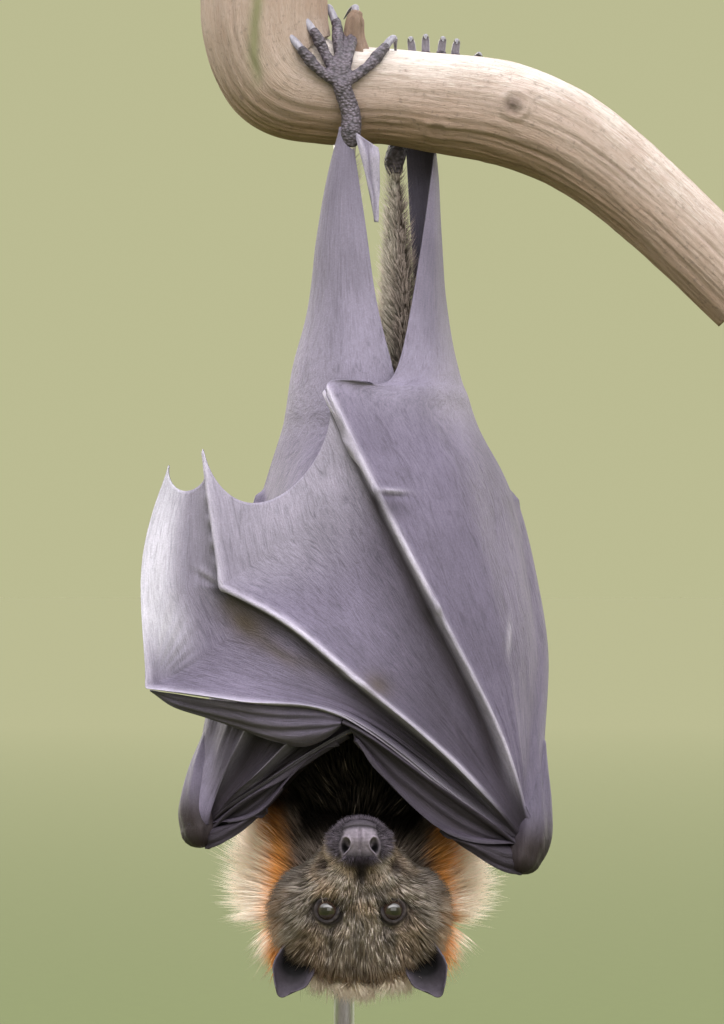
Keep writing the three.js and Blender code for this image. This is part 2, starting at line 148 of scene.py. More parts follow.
def make_object(name, points, faces):
    """A mesh object from points in millimetres and faces of one size."""
    mesh = bpy.data.meshes.new(name)
    points = np.asarray(points, np.float32) * MM
    faces = np.asarray(faces, np.int32)
    mesh.vertices.add(len(points))
    mesh.vertices.foreach_set("co", points.ravel())
    sides = faces.shape[1]
    mesh.loops.add(faces.size)
    mesh.loops.foreach_set("vertex_index", faces.ravel())
    mesh.polygons.add(len(faces))
    mesh.polygons.foreach_set("loop_start", np.arange(0, faces.size, sides, dtype=np.int32))
    mesh.update(calc_edges=True)
    mesh.validate()
    mesh.polygons.foreach_set("use_smooth", np.ones(len(mesh.polygons), bool))
    obj = bpy.data.objects.new(name, mesh)
    bpy.context.scene.collection.objects.link(obj)
    return obj


def point_value(obj, name, values):
    """A number stored at each vertex, for the materials to read."""
    layer = obj.data.attributes.new(name, "FLOAT", "POINT")
    layer.data.foreach_set("value", np.asarray(values, np.float32).ravel())


def point_colour(obj, name, values):
    """A colour stored at each vertex, linear."""
    values = np.asarray(values, np.float32)
    full = np.concatenate([values, np.ones((len(values), 1), np.float32)], axis=1)
    layer = obj.data.attributes.new(name, "FLOAT_COLOR", "POINT")
    layer.data.foreach_set("color", full.ravel())


def point_uv(obj, name, uv):
    """A UV map given at each vertex."""
    index = np.empty(len(obj.data.loops), np.int32)
    obj.data.loops.foreach_get("vertex_index", index)
    layer = obj.data.uv_layers.new(name=name)
    layer.data.foreach_set("uv", np.asarray(uv, np.float32)[index].ravel())


def grid_faces(rows, columns, wrap=False):
    """Quads of a grid of points, its columns closed into rings if wrap is set."""
    r, c = np.meshgrid(np.arange(rows - 1), np.arange(columns if wrap else columns - 1), indexing="ij")
    a = r * columns + c
    b = r * columns + (c + 1) % columns
    return np.stack([a, b, b + columns, a + columns], axis=-1).reshape(-1, 4)


def frames_along(centres):
    """Tangents and two side directions that don't twist, for tubes."""
    tangent = unit(np.gradient(centres, axis=0))
    side = np.zeros_like(tangent)
    start = np.array([1.0, 0, 0]) if abs(tangent[0][0]) < 0.9 else np.array([0, 1.0, 0])
    side[0] = unit(start - tangent[0] * start.dot(tangent[0]))
    for i in range(1, len(centres)):
        v = side[i - 1] - tangent[i] * side[i - 1].dot(tangent[i])
        side[i] = unit(v)
    return tangent, side, np.cross(tangent, side)


# A tube's end closes in rings at these angles, in degrees, and then a pole.
CAP_ANGLES = (18, 36, 54, 70, 82)


def tube_mesh(points, radii, steps=40, sides=24, dome=0.6, squash=1.0, shape=None):
    """Rings of a tube and of its domed or flat ends, as (rings, sides, 3); shape(t, angle) adds to its radius."""
    t = np.linspace(0, 1, steps)
    centres = spline(points, t)
    radius = blend(radii, t)
    tangent, side, other = frames_along(centres)
    angle = np.linspace(0, 2 * np.pi, sides, endpoint=False)
    r = np.repeat(radius[:, None], sides, axis=1)
    if shape is not None:
        r = r + shape(t[:, None], angle[None, :])
    rings = (
        centres[:, None]
        + side[:, None] * (r * np.cos(angle))[..., None]
        + other[:, None] * (r * np.sin(angle) * squash)[..., None]
    )
    caps = []
    for end, sign in ((0, -1), (steps - 1, 1)):
        cap = []
        for degrees in CAP_ANGLES:
            a = math.radians(degrees)
            lift = sign * tangent[end] * dome * radius[end] * math.sin(a)
            cap.append(centres[end] + (rings[end] - centres[end]) * math.cos(a) + lift)
        caps.append(np.array(cap))
    return np.concatenate([caps[0][::-1], rings, caps[1]])


def close_rings(rings, first=None, last=None):
    """Points and triangles of a closed surface from its rings, with a pole at each end."""
    rows, sides = rings.shape[:2]
    points = rings.reshape(-1, 3)
    first = rings[0].mean(axis=0) if first is None else np.asarray(first, float)
    last = rings[-1].mean(axis=0) if last is None else np.asarray(last, float)
    n = len(points)
    ring = np.arange(sides)
    after = (ring + 1) % sides
    top = (rows - 1) * sides
    ends = [
        np.stack([np.full(sides, n), after, ring], axis=1),
        np.stack([np.full(sides, n + 1), ring + top, after + top], axis=1),
    ]
    return np.vstack([points, first, last]), np.concatenate([halved(grid_faces(rows, sides, wrap=True)), *ends])


def halved(quads):
    """Two triangles from each quad."""
    return np.concatenate([quads[:, [0, 1, 2]], quads[:, [0, 2, 3]]])


def closed_tube(points, radii, **kwargs):
    """A tube's points and triangles, closed at both ends."""
    return close_rings(tube_mesh(points, radii, **kwargs))


def merge(parts):
    """One set of points and faces from several."""
    points, faces, offset = [], [], 0
    for p, f in parts:
        points.append(p)
        faces.append(f + offset)
        offset += len(p)
    return np.vstack(points), np.vstack(faces)


# ---- Materials ----


class Nodes:
    """Short names for building a node material."""

    def __init__(self, name):
        self.material = bpy.data.materials.new(name)
        self.material.use_nodes = True
        self.tree = self.material.node_tree
        self.tree.nodes.clear()
        self.out = self.new("ShaderNodeOutputMaterial")
        self.shader = self.new("ShaderNodeBsdfPrincipled")
        self.link(self.shader.outputs[0], self.out.inputs[0])

    def new(self, kind, **values):
        node = self.tree.nodes.new(kind)
        for key, value in values.items():
            setattr(node, key, value)
        return node

    def link(self, a, b):
        self.tree.links.new(a, b)

    def put(self, socket, value):
        """Sets a socket to a number or colour, or links it to another socket."""
        if isinstance(value, bpy.types.NodeSocket):
            self.link(value, socket)
        elif isinstance(value, tuple):
            socket.default_value = (*value, 1.0) if len(socket.default_value) == 4 else value
        else:
            socket.default_value = value

    def attribute(self, name, output="Fac"):
        return self.new("ShaderNodeAttribute", attribute_name=name).outputs[output]

    def position(self, scale=(1, 1, 1)):
        """Object coordinates, in metres, scaled."""
        coords = self.new("ShaderNodeTexCoord").outputs["Object"]
        mapping = self.new("ShaderNodeMapping")
        self.link(coords, mapping.inputs["Vector"])
        mapping.inputs["Scale"].default_value = scale
        return mapping.outputs[0]

    def uv(self, name, scale=(1, 1, 1)):
        """A named UV map, scaled."""
        coords = self.new("ShaderNodeUVMap", uv_map=name).outputs[0]
        mapping = self.new("ShaderNodeMapping")
        self.link(coords, mapping.inputs["Vector"])
        mapping.inputs["Scale"].default_value = scale
        return mapping.outputs[0]

    def noise(self, vector, scale, detail=4.0, roughness=0.55, distortion=0.0):
        node = self.new("ShaderNodeTexNoise")
        self.link(vector, node.inputs["Vector"])
        node.inputs["Scale"].default_value = scale
        node.inputs["Detail"].default_value = detail
        node.inputs["Roughness"].default_value = roughness
        node.inputs["Distortion"].default_value = distortion
        return node.outputs["Fac"]

    def voronoi(self, vector, scale, feature="F1"):
        node = self.new("ShaderNodeTexVoronoi", feature=feature)
        self.link(vector, node.inputs["Vector"])
        node.inputs["Scale"].default_value = scale
        return node.outputs["Distance"]

    def ramp(self, factor, stops):
        """A colour ramp from (place, colour) pairs, colours grey or linear RGB."""
        node = self.new("ShaderNodeValToRGB")
        self.link(factor, node.inputs[0])
        elements = node.color_ramp.elements
        while len(elements) < len(stops):
            elements.new(0.5)
        for element, (place, colour) in zip(elements, stops):
            element.position = place
            if not isinstance(colour, tuple):
                colour = (colour, colour, colour)
            element.color = (*colour, 1.0)
        return node.outputs["Color"]

    def mix(self, factor, a, b, mode="MIX"):
        node = self.new("ShaderNodeMix", data_type="RGBA", blend_type=mode)
        self.put(node.inputs[0], factor)
        self.put(node.inputs[6], a)
        self.put(node.inputs[7], b)
        return node.outputs[2]

    def maths(self, operation, a, b=0.0, c=0.5):
        node = self.new("ShaderNodeMath", operation=operation)
        self.put(node.inputs[0], a)
        self.put(node.inputs[1], b)
        self.put(node.inputs[2], c)
        return node.outputs[0]

    def bump(self, height, distance, strength=1.0, normal=None):
        node = self.new("ShaderNodeBump")
        node.inputs["Strength"].default_value = strength
        node.inputs["Distance"].default_value = distance
        self.link(height, node.inputs["Height"])
        if normal is not None:
            self.link(normal, node.inputs["Normal"])
        return node.outputs[0]

    def finish(self, **inputs):
        """Sets the shader's inputs by name, with _ for spaces, and returns the material."""
        for name, value in inputs.items():
            self.put(self.shader.inputs[name.replace("_", " ")], value)
        return self.material


def place(obj, material, node_slot, *nodes):
    """Finishes a piece: its material, its body and the nodes that it stands for; node_slot, its slot in the record, is
    not used.
    """
    obj.data.materials.clear()
    obj.data.materials.append(material)
    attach(obj, "root")
    if nodes:
        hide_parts(*nodes)
    return obj


# ---- Camera, floor and light ----

# The photograph's frame, and where it lies on the model: 0.43 mm to a pixel.
FRAME_PIXELS = (724, 1024)
PIXEL = 0.43
CENTRE_COLUMN = 360
BOTTOM_Z = 38.0
CAMERA_AWAY = 5000.0
SENSOR = 36.0
SUBJECT_Y = -30.0


def make_camera():
    data = bpy.data.cameras.new("camera")
    camera = bpy.data.objects.new("camera", data)
    bpy.context.scene.collection.objects.link(camera)
    middle_x = (FRAME_PIXELS[0] / 2 - CENTRE_COLUMN) * PIXEL
    middle_z = BOTTOM_Z + FRAME_PIXELS[1] / 2 * PIXEL
    camera.location = Vector((middle_x, SUBJECT_Y - CAMERA_AWAY, middle_z)) * MM
    camera.rotation_euler = (math.pi / 2, 0, 0)
    data.sensor_width = SENSOR
    data.lens = SENSOR * CAMERA_AWAY / (FRAME_PIXELS[1] * PIXEL)
    data.clip_start = 0.1
    data.clip_end = 60
    bpy.context.scene.camera = camera


def make_light(name, place_mm, size, power, colour, aim=(0, 0, 230), spread=180):
    """An area light of a width and a height."""
    data = bpy.data.lights.new(name, "AREA")
    data.shape = "RECTANGLE"
    data.size, data.size_y = size
    data.energy = power
    data.color = colour
    data.spread = math.radians(spread)
    light = bpy.data.objects.new(name, data)
    bpy.context.scene.collection.objects.link(light)
    light.location = Vector(place_mm) * MM
    light.rotation_euler = (Vector(aim) * MM - light.location).to_track_quat("-Z", "Y").to_euler()


# The sky is brighter overhead than at the horizon, where the pale floor meets it without a line.
HORIZON = (0.50, 0.50, 0.29)
OVERHEAD = (3.0, 3.0, 3.1)
# The floor is painted darker near the stand, where the lamps light it most, and paler far out, so that it looks evenly
# bright and meets the horizon.
FLOOR_NEAR = (0.071, 0.088, 0.016)
FLOOR_FAR = (0.156, 0.1555, 0.0654)


def make_sky():
    world = bpy.data.worlds.new("world")
    bpy.context.scene.world = world
    world.use_nodes = True
    tree = world.node_tree
    direction = tree.nodes.new("ShaderNodeTexCoord").outputs["Generated"]
    split = tree.nodes.new("ShaderNodeSeparateXYZ")
    tree.links.new(direction, split.inputs[0])
    ramp = tree.nodes.new("ShaderNodeValToRGB")
    tree.links.new(split.outputs["Z"], ramp.inputs[0])
    ramp.color_ramp.elements[0].position = 0.28
    ramp.color_ramp.elements[0].color = (*HORIZON, 1)
    ramp.color_ramp.elements[1].position = 0.60
    ramp.color_ramp.elements[1].color = (*OVERHEAD, 1)
    tree.links.new(ramp.outputs[0], tree.nodes["Background"].inputs["Color"])


def make_floor():
    size = 30.0
    corners = [(-size, -size, 0), (size, -size, 0), (size, size, 0), (-size, size, 0)]
    mesh = bpy.data.meshes.new("floor")
    mesh.from_pydata(corners, [], [(0, 1, 2, 3)])
    floor = bpy.data.objects.new("floor", mesh)
    bpy.context.scene.collection.objects.link(floor)
    nodes = Nodes("floor_paint")
    speck = nodes.noise(nodes.position(), 90.0, 3.0)
    away = nodes.new("ShaderNodeVectorMath", operation="LENGTH")
    nodes.link(nodes.position((0.1, 0.1, 0.1)), away.inputs[0])
    paint = nodes.ramp(away.outputs["Value"], [(0.05, FLOOR_NEAR), (0.9, FLOOR_FAR)])
    paint = nodes.mix(1.0, paint, nodes.ramp(speck, [(0.3, 0.97), (0.7, 1.03)]), "MULTIPLY")
    floor.data.materials.append(nodes.finish(Base_Color=paint, Roughness=0.95))


def make_stage():
    bpy.context.scene.view_settings.view_transform = "Standard"
    make_sky()
    make_floor()
    make_light("key", (120, -1550, 1650), (4.5, 1.2), 31.0, (1.0, 0.98, 0.96), spread=120)
    make_light("fill", (500, -1900, 420), (1.8, 0.9), 9.0, (1.0, 0.98, 0.95), aim=(0, -40, 120))
    make_light("rim_left", (-900, 900, 500), (0.7, 0.7), 1.3, (1.0, 0.95, 0.85), spread=50)
    make_light("rim_right", (1000, 800, 420), (0.7, 0.7), 1.0, (1.0, 0.95, 0.85), spread=50)


# ---- Stand ----

BASE_RADIUS = 120.0
BASE_HEIGHT = 16.0
BASE_ROUND = 3.0
ROD_RADIUS = 4.5
ROD_FOOT = (-7, 92, 9)
ROD_HEAD = (-7, 21, 442)
COLLAR_RADIUS = 8.0
COLLAR_HEIGHT = 7.0


def base_wood():
    nodes = Nodes("base_wood")
    grain = nodes.noise(nodes.position((3.0, 40.0, 3.0)), 6.0, 6.0, 0.6, 0.8)
    fine = nodes.noise(nodes.position((20.0, 400.0, 20.0)), 4.0, 3.0)
    colour = nodes.ramp(grain, [(0.3, (0.022, 0.012, 0.007)), (0.55, (0.055, 0.030, 0.017)), (0.75, (0.085, 0.050, 0.030))])
    rough = nodes.ramp(fine, [(0.3, 0.33), (0.7, 0.48)])
    return nodes.finish(Base_Color=colour, Roughness=rough, Coat_Weight=0.25, Coat_Roughness=0.25,
                        Normal=nodes.bump(fine, 0.0002, 0.5))


def rod_steel():
    nodes = Nodes("rod_steel")
    brushed = nodes.noise(nodes.position((900.0, 900.0, 12.0)), 2.0, 3.0)
    colour = nodes.ramp(brushed, [(0.3, (0.42, 0.42, 0.43)), (0.7, (0.56, 0.56, 0.57))])
    rough = nodes.ramp(brushed, [(0.3, 0.28), (0.7, 0.42)])
    return nodes.finish(Base_Color=colour, Roughness=rough, Metallic=1.0, Normal=nodes.bump(brushed, 0.0001, 0.3))


def make_stand():
    profile = [(0.0, 0.0), (BASE_RADIUS * 0.5, 0.0), (BASE_RADIUS - 1.0, 0.0), (BASE_RADIUS, 1.0)]
    for k in range(7):
        a = math.pi / 2 * k / 6
        profile.append(
            (BASE_RADIUS - BASE_ROUND + BASE_ROUND * math.cos(a), BASE_HEIGHT - BASE_ROUND + BASE_ROUND * math.sin(a))
        )
    profile += [(BASE_RADIUS * 0.6, BASE_HEIGHT), (0.0, BASE_HEIGHT)]
    base = lathe("stand_base_top", profile, 144)
    place(base, base_wood(), "base_wood", "stand_base")

    foot, head = np.array(ROD_FOOT, float), np.array(ROD_HEAD, float)
    along = unit(head - foot)
    top = foot + along * (BASE_HEIGHT - foot[2]) / along[2]
    rod = closed_tube([foot, head], [ROD_RADIUS, ROD_RADIUS], steps=30, sides=32, dome=0)
    collar = closed_tube(
        [top - along, top + along * COLLAR_HEIGHT],
        [COLLAR_RADIUS, COLLAR_RADIUS, COLLAR_RADIUS * 0.96, COLLAR_RADIUS * 0.8],
        steps=16,
        sides=40,
        dome=0.3,
    )
    points, faces = merge([rod, collar])
    place(make_object("stand_rod_and_collar", points, faces), rod_steel(), "rod_steel", "stand_rod")


def lathe(name, profile, sides):
    """A turned solid from (radius, height) pairs that start and end on the axis."""
    angle = np.linspace(0, 2 * np.pi, sides, endpoint=False)
    rings = np.array([np.stack([r * np.cos(angle), r * np.sin(angle), 0 * angle + z], axis=1) for r, z in profile[1:-1]])
    return make_object(name, *close_rings(rings, (0, 0, profile[0][1]), (0, 0, profile[-1][1])))


# ---- Branch ----

BRANCH_Y = 5.0
BRANCH_LINE = [
    (-42, 492, 27.5), (-41, 466, 27.5), (-33, 447, 26), (-14, 439.5, 22.5), (12, 438, 21), (36, 435, 22),
    (61, 431, 22.8), (86, 421.5, 22), (108, 407, 20.5), (129, 389, 19.5), (148, 371, 19), (168, 351, 18.5),
]
BRANCH_CENTRES = [(x, BRANCH_Y, z) for x, z, _ in BRANCH_LINE]
BRANCH_RADII = [r for _, _, r in BRANCH_LINE]
# Knots: a place on the wood, how wide, and how far it stands out or, below zero, sinks in.
KNOTS = [((67, -17, 434), 7.0, 2.4), ((66, -18, 434), 3.0, -2.2), ((33, -14, 421), 7.0, 1.5), ((33, -16, 420), 3.5, -2.0),
         ((-60, -12, 430), 6.0, 1.6), ((-61, -16, 429), 2.6, -2.0), ((100, 20, 420), 8.0, 2.0)]


def bark():
    nodes = Nodes("bark")
    grain = nodes.noise(nodes.uv("grain", (26.0, 3.4, 1.0)), 8.0, 8.0, 0.62, 0.6)
    fine = nodes.noise(nodes.uv("grain", (190.0, 9.0, 1.0)), 6.0, 6.0, 0.65, 0.3)
    blotch = nodes.noise(nodes.position(), 34.0, 5.0, 0.6, 0.4)
    speck = nodes.noise(nodes.position(), 420.0, 3.0)
    # Painted light: the bark is paler on its side that faces up and to the front, towards the lamps.
    top = nodes.attribute("painted_light")
    tone = nodes.maths("ADD", nodes.maths("MULTIPLY", top, 0.62), nodes.maths("MULTIPLY", grain, 0.32))
    tone = nodes.maths("ADD", tone, nodes.maths("MULTIPLY", blotch, 0.22))
    colour = nodes.ramp(
        tone,
        [
            (0.22, (0.20, 0.115, 0.07)),
            (0.38, (0.30, 0.19, 0.125)),
            (0.56, (0.32, 0.225, 0.175)),
            (0.74, (0.40, 0.315, 0.27)),
            (0.92, (0.70, 0.64, 0.60)),
        ],
    )
    streak = nodes.ramp(fine, [(0.30, 0.42), (0.47, 1.0), (0.70, 1.08)])
    colour = nodes.mix(1.0, colour, streak, "MULTIPLY")
    colour = nodes.mix(1.0, colour, nodes.ramp(speck, [(0.28, 0.72), (0.42, 1.0)]), "MULTIPLY")
    colour = nodes.mix(nodes.attribute("moss"), colour, (0.16, 0.17, 0.07))
    colour = nodes.mix(nodes.attribute("dark"), colour, (0.045, 0.024, 0.014))
    rings = nodes.maths("SINE", nodes.maths("MULTIPLY", nodes.attribute("cut"), 3.2))
    end_grain = nodes.ramp(nodes.maths("MULTIPLY_ADD", rings, 0.5), [(0.2, (0.40, 0.26, 0.15)), (0.8, (0.60, 0.44, 0.29))])
    colour = nodes.mix(nodes.maths("GREATER_THAN", nodes.attribute("cut"), 0.5), colour, end_grain)
    height = nodes.maths("ADD", nodes.maths("MULTIPLY", grain, 0.9), nodes.maths("MULTIPLY", fine, 0.6))
    return nodes.finish(Base_Color=colour, Roughness=0.82, Normal=nodes.bump(height, 0.0012, 0.8))


def make_branch():
    rows, sides = 300, 130
    t = np.linspace(0, 1, rows)
    centres = spline(BRANCH_CENTRES, t)
    arc = np.concatenate([[0], np.cumsum(np.linalg.norm(np.diff(centres, axis=0), axis=1))])

    def relief(t_here, angle_here):
        along = np.interp(t_here, t, arc)
        around = np.broadcast_arrays(9 * np.cos(angle_here), 9 * np.sin(angle_here), along * 0.028)
        ring = np.stack(around, axis=-1)
        lumps = fractal(ring * 0.16, 3, 5) * 1.1
        grooves = -np.abs(fractal(ring * np.array([1.6, 1.6, 0.55]), 4, 9)) * 1.3
        return lumps + grooves - 0.3

    rings = tube_mesh(BRANCH_CENTRES, BRANCH_RADII, rows, sides, dome=0.0, shape=relief)
    cap = len(CAP_ANGLES)
    middles = np.concatenate([centres[:1]] * cap + [centres] + [centres[-1:]] * cap)
    spokes = rings - middles[:, None]
    outward = unit(spokes)
    shift = np.zeros(rings.shape[:2])
    dark = np.zeros(rings.shape[:2])
    for spot, width, lift in KNOTS:
        ring = np.linalg.norm(rings - np.array(spot, float), axis=-1) / width
        shift += lift * np.exp(-(ring**2)) * (1 + 0.35 * np.sin(ring * 9))
        # The sunken middles of the knots are painted dark, as shade in their hollows.
        if lift < 0:
            dark += 0.9 * np.exp(-((ring / 1.3) ** 2))
    wander = 2.5 * lattice_noise(rings * np.array([0, 0, 0.09]), 3)
    seam = hump(rings[..., 0], wander - 46.5, 2.6) * smooth(-rings[..., 1], -6, 8) * smooth(rings[..., 2], 436, 452)
    shift -= 1.6 * seam
    shift[:cap] = 0
    shift[-cap:] = 0
    points, faces = close_rings(rings + outward * shift[..., None])
    stub = closed_tube(
        [(-2, BRANCH_Y - 3, 450), (-3, BRANCH_Y - 5, 463), (-2.2, BRANCH_Y - 6, 471), (-1.5, BRANCH_Y - 6, 474)],
        [8, 4.6, 3.6, 2.2],
        steps=40,
        sides=40,
        shape=lambda t_here, angle_here: 0.5 * np.sin(5 * angle_here + 3 * t_here) + 0.35 * np.sin(11 * angle_here),
    )
    whole, all_faces = merge([(points, faces), stub])
    obj = make_object("branch_wood", whole, all_faces)

    count = rings.shape[0] * sides
    angle = np.linspace(0, 1, sides, endpoint=False)
    uv = whole[:, [0, 2]] * 0.01
    uv[:count, 0] = np.tile(angle, len(rings))
    uv[:count, 1] = np.repeat(np.concatenate([[arc[0]] * cap, arc, [arc[-1]] * cap]), sides) * 0.005
    point_uv(obj, "grain", uv)
    values = {name: np.zeros(len(whole)) for name in ("painted_light", "moss", "dark", "cut")}
    # Painted light: the side that faces up and to the front gets more of it, and the stub a middling amount.
    facing = outward[..., 2] * 0.9 - outward[..., 1] * 0.22 - outward[..., 0] * 0.2
    values["painted_light"][:count] = np.clip(0.5 + 0.5 * facing, 0, 1).ravel()
    values["painted_light"][count:] = 0.35
    values["moss"][:count] = 0.8 * seam.ravel()
    values["dark"][:count] = np.clip(dark, 0, 1).ravel()
    values["dark"][count:] = 0.35
    radius = np.linalg.norm(spokes, axis=-1)
    radius[cap:-cap] = 0
    values["cut"][:count] = radius.ravel()
    for name, value in values.items():
        point_value(obj, name, value)
    place(obj, bark(), "bark", "perch_branch")


# ---- Wings ----

# The joints of each wing and the lines that its skin follows between the wrist and the ankle.
WINGS = {
    "right": {
        "wrist": (74, -29, 113),
        "elbow": (64, 1, 263),
        "shoulder": (42, 13, 156),
        "ankle": (27, 18, 416),
        "drawn": 0.0,
        "digits": {
            2: [(41, -43, 119), (18, -51, 136), (-2, -57, 160)],
            3: [(40, -46, 136.5), (-7, -61, 170), (-50, -51, 176.5), (-90.5, -32, 182), (-92.5, -25, 235), (-81.7, -19, 278)],
            4: [(42, -49.5, 149), (1, -60, 184), (-30, -55, 210), (-58.5, -46, 226), (-66.7, -36, 285)],
            5: [(58.5, -43, 163), (32, -52, 217), (7, -53, 266), (-14.6, -47, 311)],
        },
        "trail": [(5, -44, 313), (15.5, -33, 319), (23, -13, 352), (31.5, 11, 414)],
        "flank": [(38, 24, 146), (33, 31, 172), (30, 35, 205), (27, 32, 255), (25, 25, 296), (26, 20, 308), (27, 18, 318),
                  (24, 9, 350), (20, 23, 418)],
        "arm": [(52, 16, 146), (58, 15, 172), (62, 12, 205), (61, 8, 258), (48, 10, 296), (43, 11, 308), (40, 12, 318),
                (34, 11, 350), (27, 25, 418)],
        "edge": [(71, -28, 110), (75.5, -20, 160), (76, -12, 207), (66, -2, 262), (50, -3, 296), (46, -3, 308),
                 (42.5, -2, 318), (36.5, 1, 350), (32, 18, 417)],
        "belly": [(72, -29, 114), (68, -37, 165), (60, -41, 210), (44, -41, 264), (27, -40, 300), (30, -33, 311),
                  (33, -23, 319), (32, -10, 350), (32, 13, 415)],
        "thumb": [(72, -22, 110), (73, -6, 112), (69, 10, 122)],
        "rows": (200, 80),
        "cloak_columns": 84,
        "panel_columns": (60, 56),
        "web_grid": (90, 40),
    },
    "left": {
        "wrist": (-68, -19, 121),
        "elbow": (-42, 3, 264),
        "shoulder": (-36, 13, 158),
        "ankle": (-5, -20, 424),
        "drawn": 0.6,
        "digits": {
            2: [(-44, -34, 128), (-26, -42, 147), (-10, -48, 160)],
            3: [(-44, -36, 139), (-5, -50, 163), (28, -42, 172), (58, -29, 178), (60, -22, 214), (55, -18, 250)],
            4: [(-40, -38, 148), (-5, -48, 184), (20, -42, 204), (45, -31, 216), (48, -25, 262)],
            5: [(-48, -32, 163), (-22, -41, 213), (0, -41, 262), (16, -31, 298)],
        },
        "trail": [(16, -30, 306), (14.6, -27, 318), (6, -21, 356), (-1.5, -25, 420)],
        "flank": [(-32, 24, 148), (-24, 33, 172), (-18, 36, 207), (-10, 33, 255), (-6, 25, 290), (-7, 20, 300), (-9, 15, 318),
                  (-11, 3, 356), (-7, -18, 424)],
        "arm": [(-46, 15, 150), (-51, 14, 174), (-52, 11, 207), (-43, 9, 260), (-32, 9, 290), (-29, 9, 300), (-26, 7, 318),
                (-19, 0, 356), (-12, -19, 424)],
        "edge": [(-70, -18, 122), (-63, -11, 166), (-55, -5, 210), (-42, 2, 264), (-33, -1, 292), (-31, -2, 302),
                 (-28.5, -3, 318), (-21, -9, 356), (-15, -23, 424)],
        "belly": [(-70, -20, 123), (-58, -26, 166), (-43, -32, 212), (-26, -33, 262), (-10, -31, 292), (-9, -30, 303),
                  (-8, -28, 318), (-8, -22, 356), (-9, -28, 424)],
        "thumb": [(-70, -12, 119), (-71, 4, 120), (-67, 19, 130)],
        "rows": (130, 60),
        "cloak_columns": 60,
        "panel_columns": (44, 40),
        "web_grid": (70, 36),
    },
}
MEMBRANE_HALF = 0.32
HAND_START = 0.03
SCOOPS = (0.13, 0.05)
DIGIT_RADIUS = (2.5, 2.1, 1.7, 1.0)
FOREARM_RADIUS = (7.5, 5.2, 4.6, 3.6, 1.6)
UPPER_ARM_RADIUS = (8, 5.5, 3)
# Which joints along a digit's curve show as knuckles, as shares of its length.
KNUCKLES = {5: (0.5, 0.75), 4: (0.4, 0.8), 3: (0.333, 0.667), 2: (0.5,)}

SKIN_TONE = np.array([0.128, 0.108, 0.162])
# The pale and dark tones are painted light and painted shade on the skin.
SKIN_PAINTED_LIGHT = np.array([0.40, 0.365, 0.45])
SKIN_PAINTED_SHADE = np.array([0.018, 0.013, 0.017])
SKIN_BROWN = np.array([0.062, 0.046, 0.036])


# A digit turns sharply at this one of its joints, counted from the wrist.
SHARP_JOINT = {3: 4, 4: 4}


def digit_line(wing, k, t):
    """Points of a digit's line from the wrist to its tip."""
    joints = [wing["wrist"], *wing["digits"][k]]
    t = np.asarray(t, float)
    turn = SHARP_JOINT.get(k, len(joints))
    if turn >= len(joints) - 1:
        return spline(joints, t)
    share = turn / (len(joints) - 1)
    before = spline(joints[: turn + 1], t / share)
    after = spline(joints[turn:], (t - share) / (1 - share))
    return np.where((t < share)[..., None], before, after)


def nearest(points, line, radii):
    """Distance of points to a line, the radius of the bone at the nearest place on it, and that place's share."""
    samples = len(line)
    flat = points.reshape(-1, 3)
    best = np.full(len(flat), 1e9)
    where = np.zeros(len(flat))
    start, step = line[:-1], np.diff(line, axis=0)
    length = (step**2).sum(axis=1)
    for k in range(samples - 1):
        f = np.clip(((flat - start[k]) @ step[k]) / length[k], 0, 1)
        gap = ((flat - start[k] - f[:, None] * step[k]) ** 2).sum(axis=1)
        closer = gap < best
        best[closer] = gap[closer]
        where[closer] = (k + f[closer]) / (samples - 1)
    shape = points.shape[:-1]
    return np.sqrt(best).reshape(shape), blend(radii, where).reshape(shape), where.reshape(shape)


def clustered(count, ends=(True, True)):
    """Shares from 0 to 1, packed closer together towards the chosen ends."""
    u = np.linspace(0, 1, count)
    if ends == (True, True):
        return 0.35 * u + 0.65 * (0.5 - 0.5 * np.cos(np.pi * u))
    return 0.3 * u + 0.7 * np.sin(np.pi / 2 * u)


def vertex_normals(points, quads):
    """Unit normals of a sheet's points."""
    a, b, c, d = (points[quads[:, k]] for k in range(4))
    face = np.cross(c - a, d - b)
    total = np.zeros_like(points)
    for k in range(4):
        np.add.at(total, quads[:, k], face)
    return unit(total)


def thicken(points, quads, normals, up, low):
    """A closed skin on both sides of a sheet, joined round its free edges."""
    n = len(points)
    upper, lower = points + normals * up[:, None], points - normals * low[:, None]
    edges = np.concatenate([quads[:, [k, (k + 1) % 4]] for k in range(4)])
    key = np.sort(edges, axis=1) @ np.array([n, 1])
    _, first, count = np.unique(key, return_index=True, return_counts=True)
    rim = edges[first[count == 1]]
    side = np.stack([rim[:, 1], rim[:, 0], rim[:, 0] + n, rim[:, 1] + n], axis=1)
    faces = np.concatenate([quads, quads[:, ::-1] + n, side])
    return np.vstack([upper, lower]), halved(faces)


def crest(gap, rise, reach):
    """The side of a digit from which the skin climbs to it slowly."""
    return rise * np.exp(-gap / reach)


def gutter(gap, rise, drop, reach):
    """The side of a digit from which the skin falls away at once."""
    near = np.exp(-((gap / 1.7) ** 2))
    return rise * near - drop * (1 - near) * np.exp(-gap / reach)


def front_spot(points, px, py, width, height, turn=0.0):
    """A soft oval mark placed on the skin by where it shows from the front, in the frame's pixels."""
    dx = points[..., 0] / PIXEL + CENTRE_COLUMN - px
    dy = FRAME_PIXELS[1] - (points[..., 2] - BOTTOM_Z) / PIXEL - py
    a = math.radians(turn)
    along, over = dx * math.cos(a) + dy * math.sin(a), -dx * math.sin(a) + dy * math.cos(a)
    return np.exp(-((along / width) ** 2) - (over / height) ** 2)


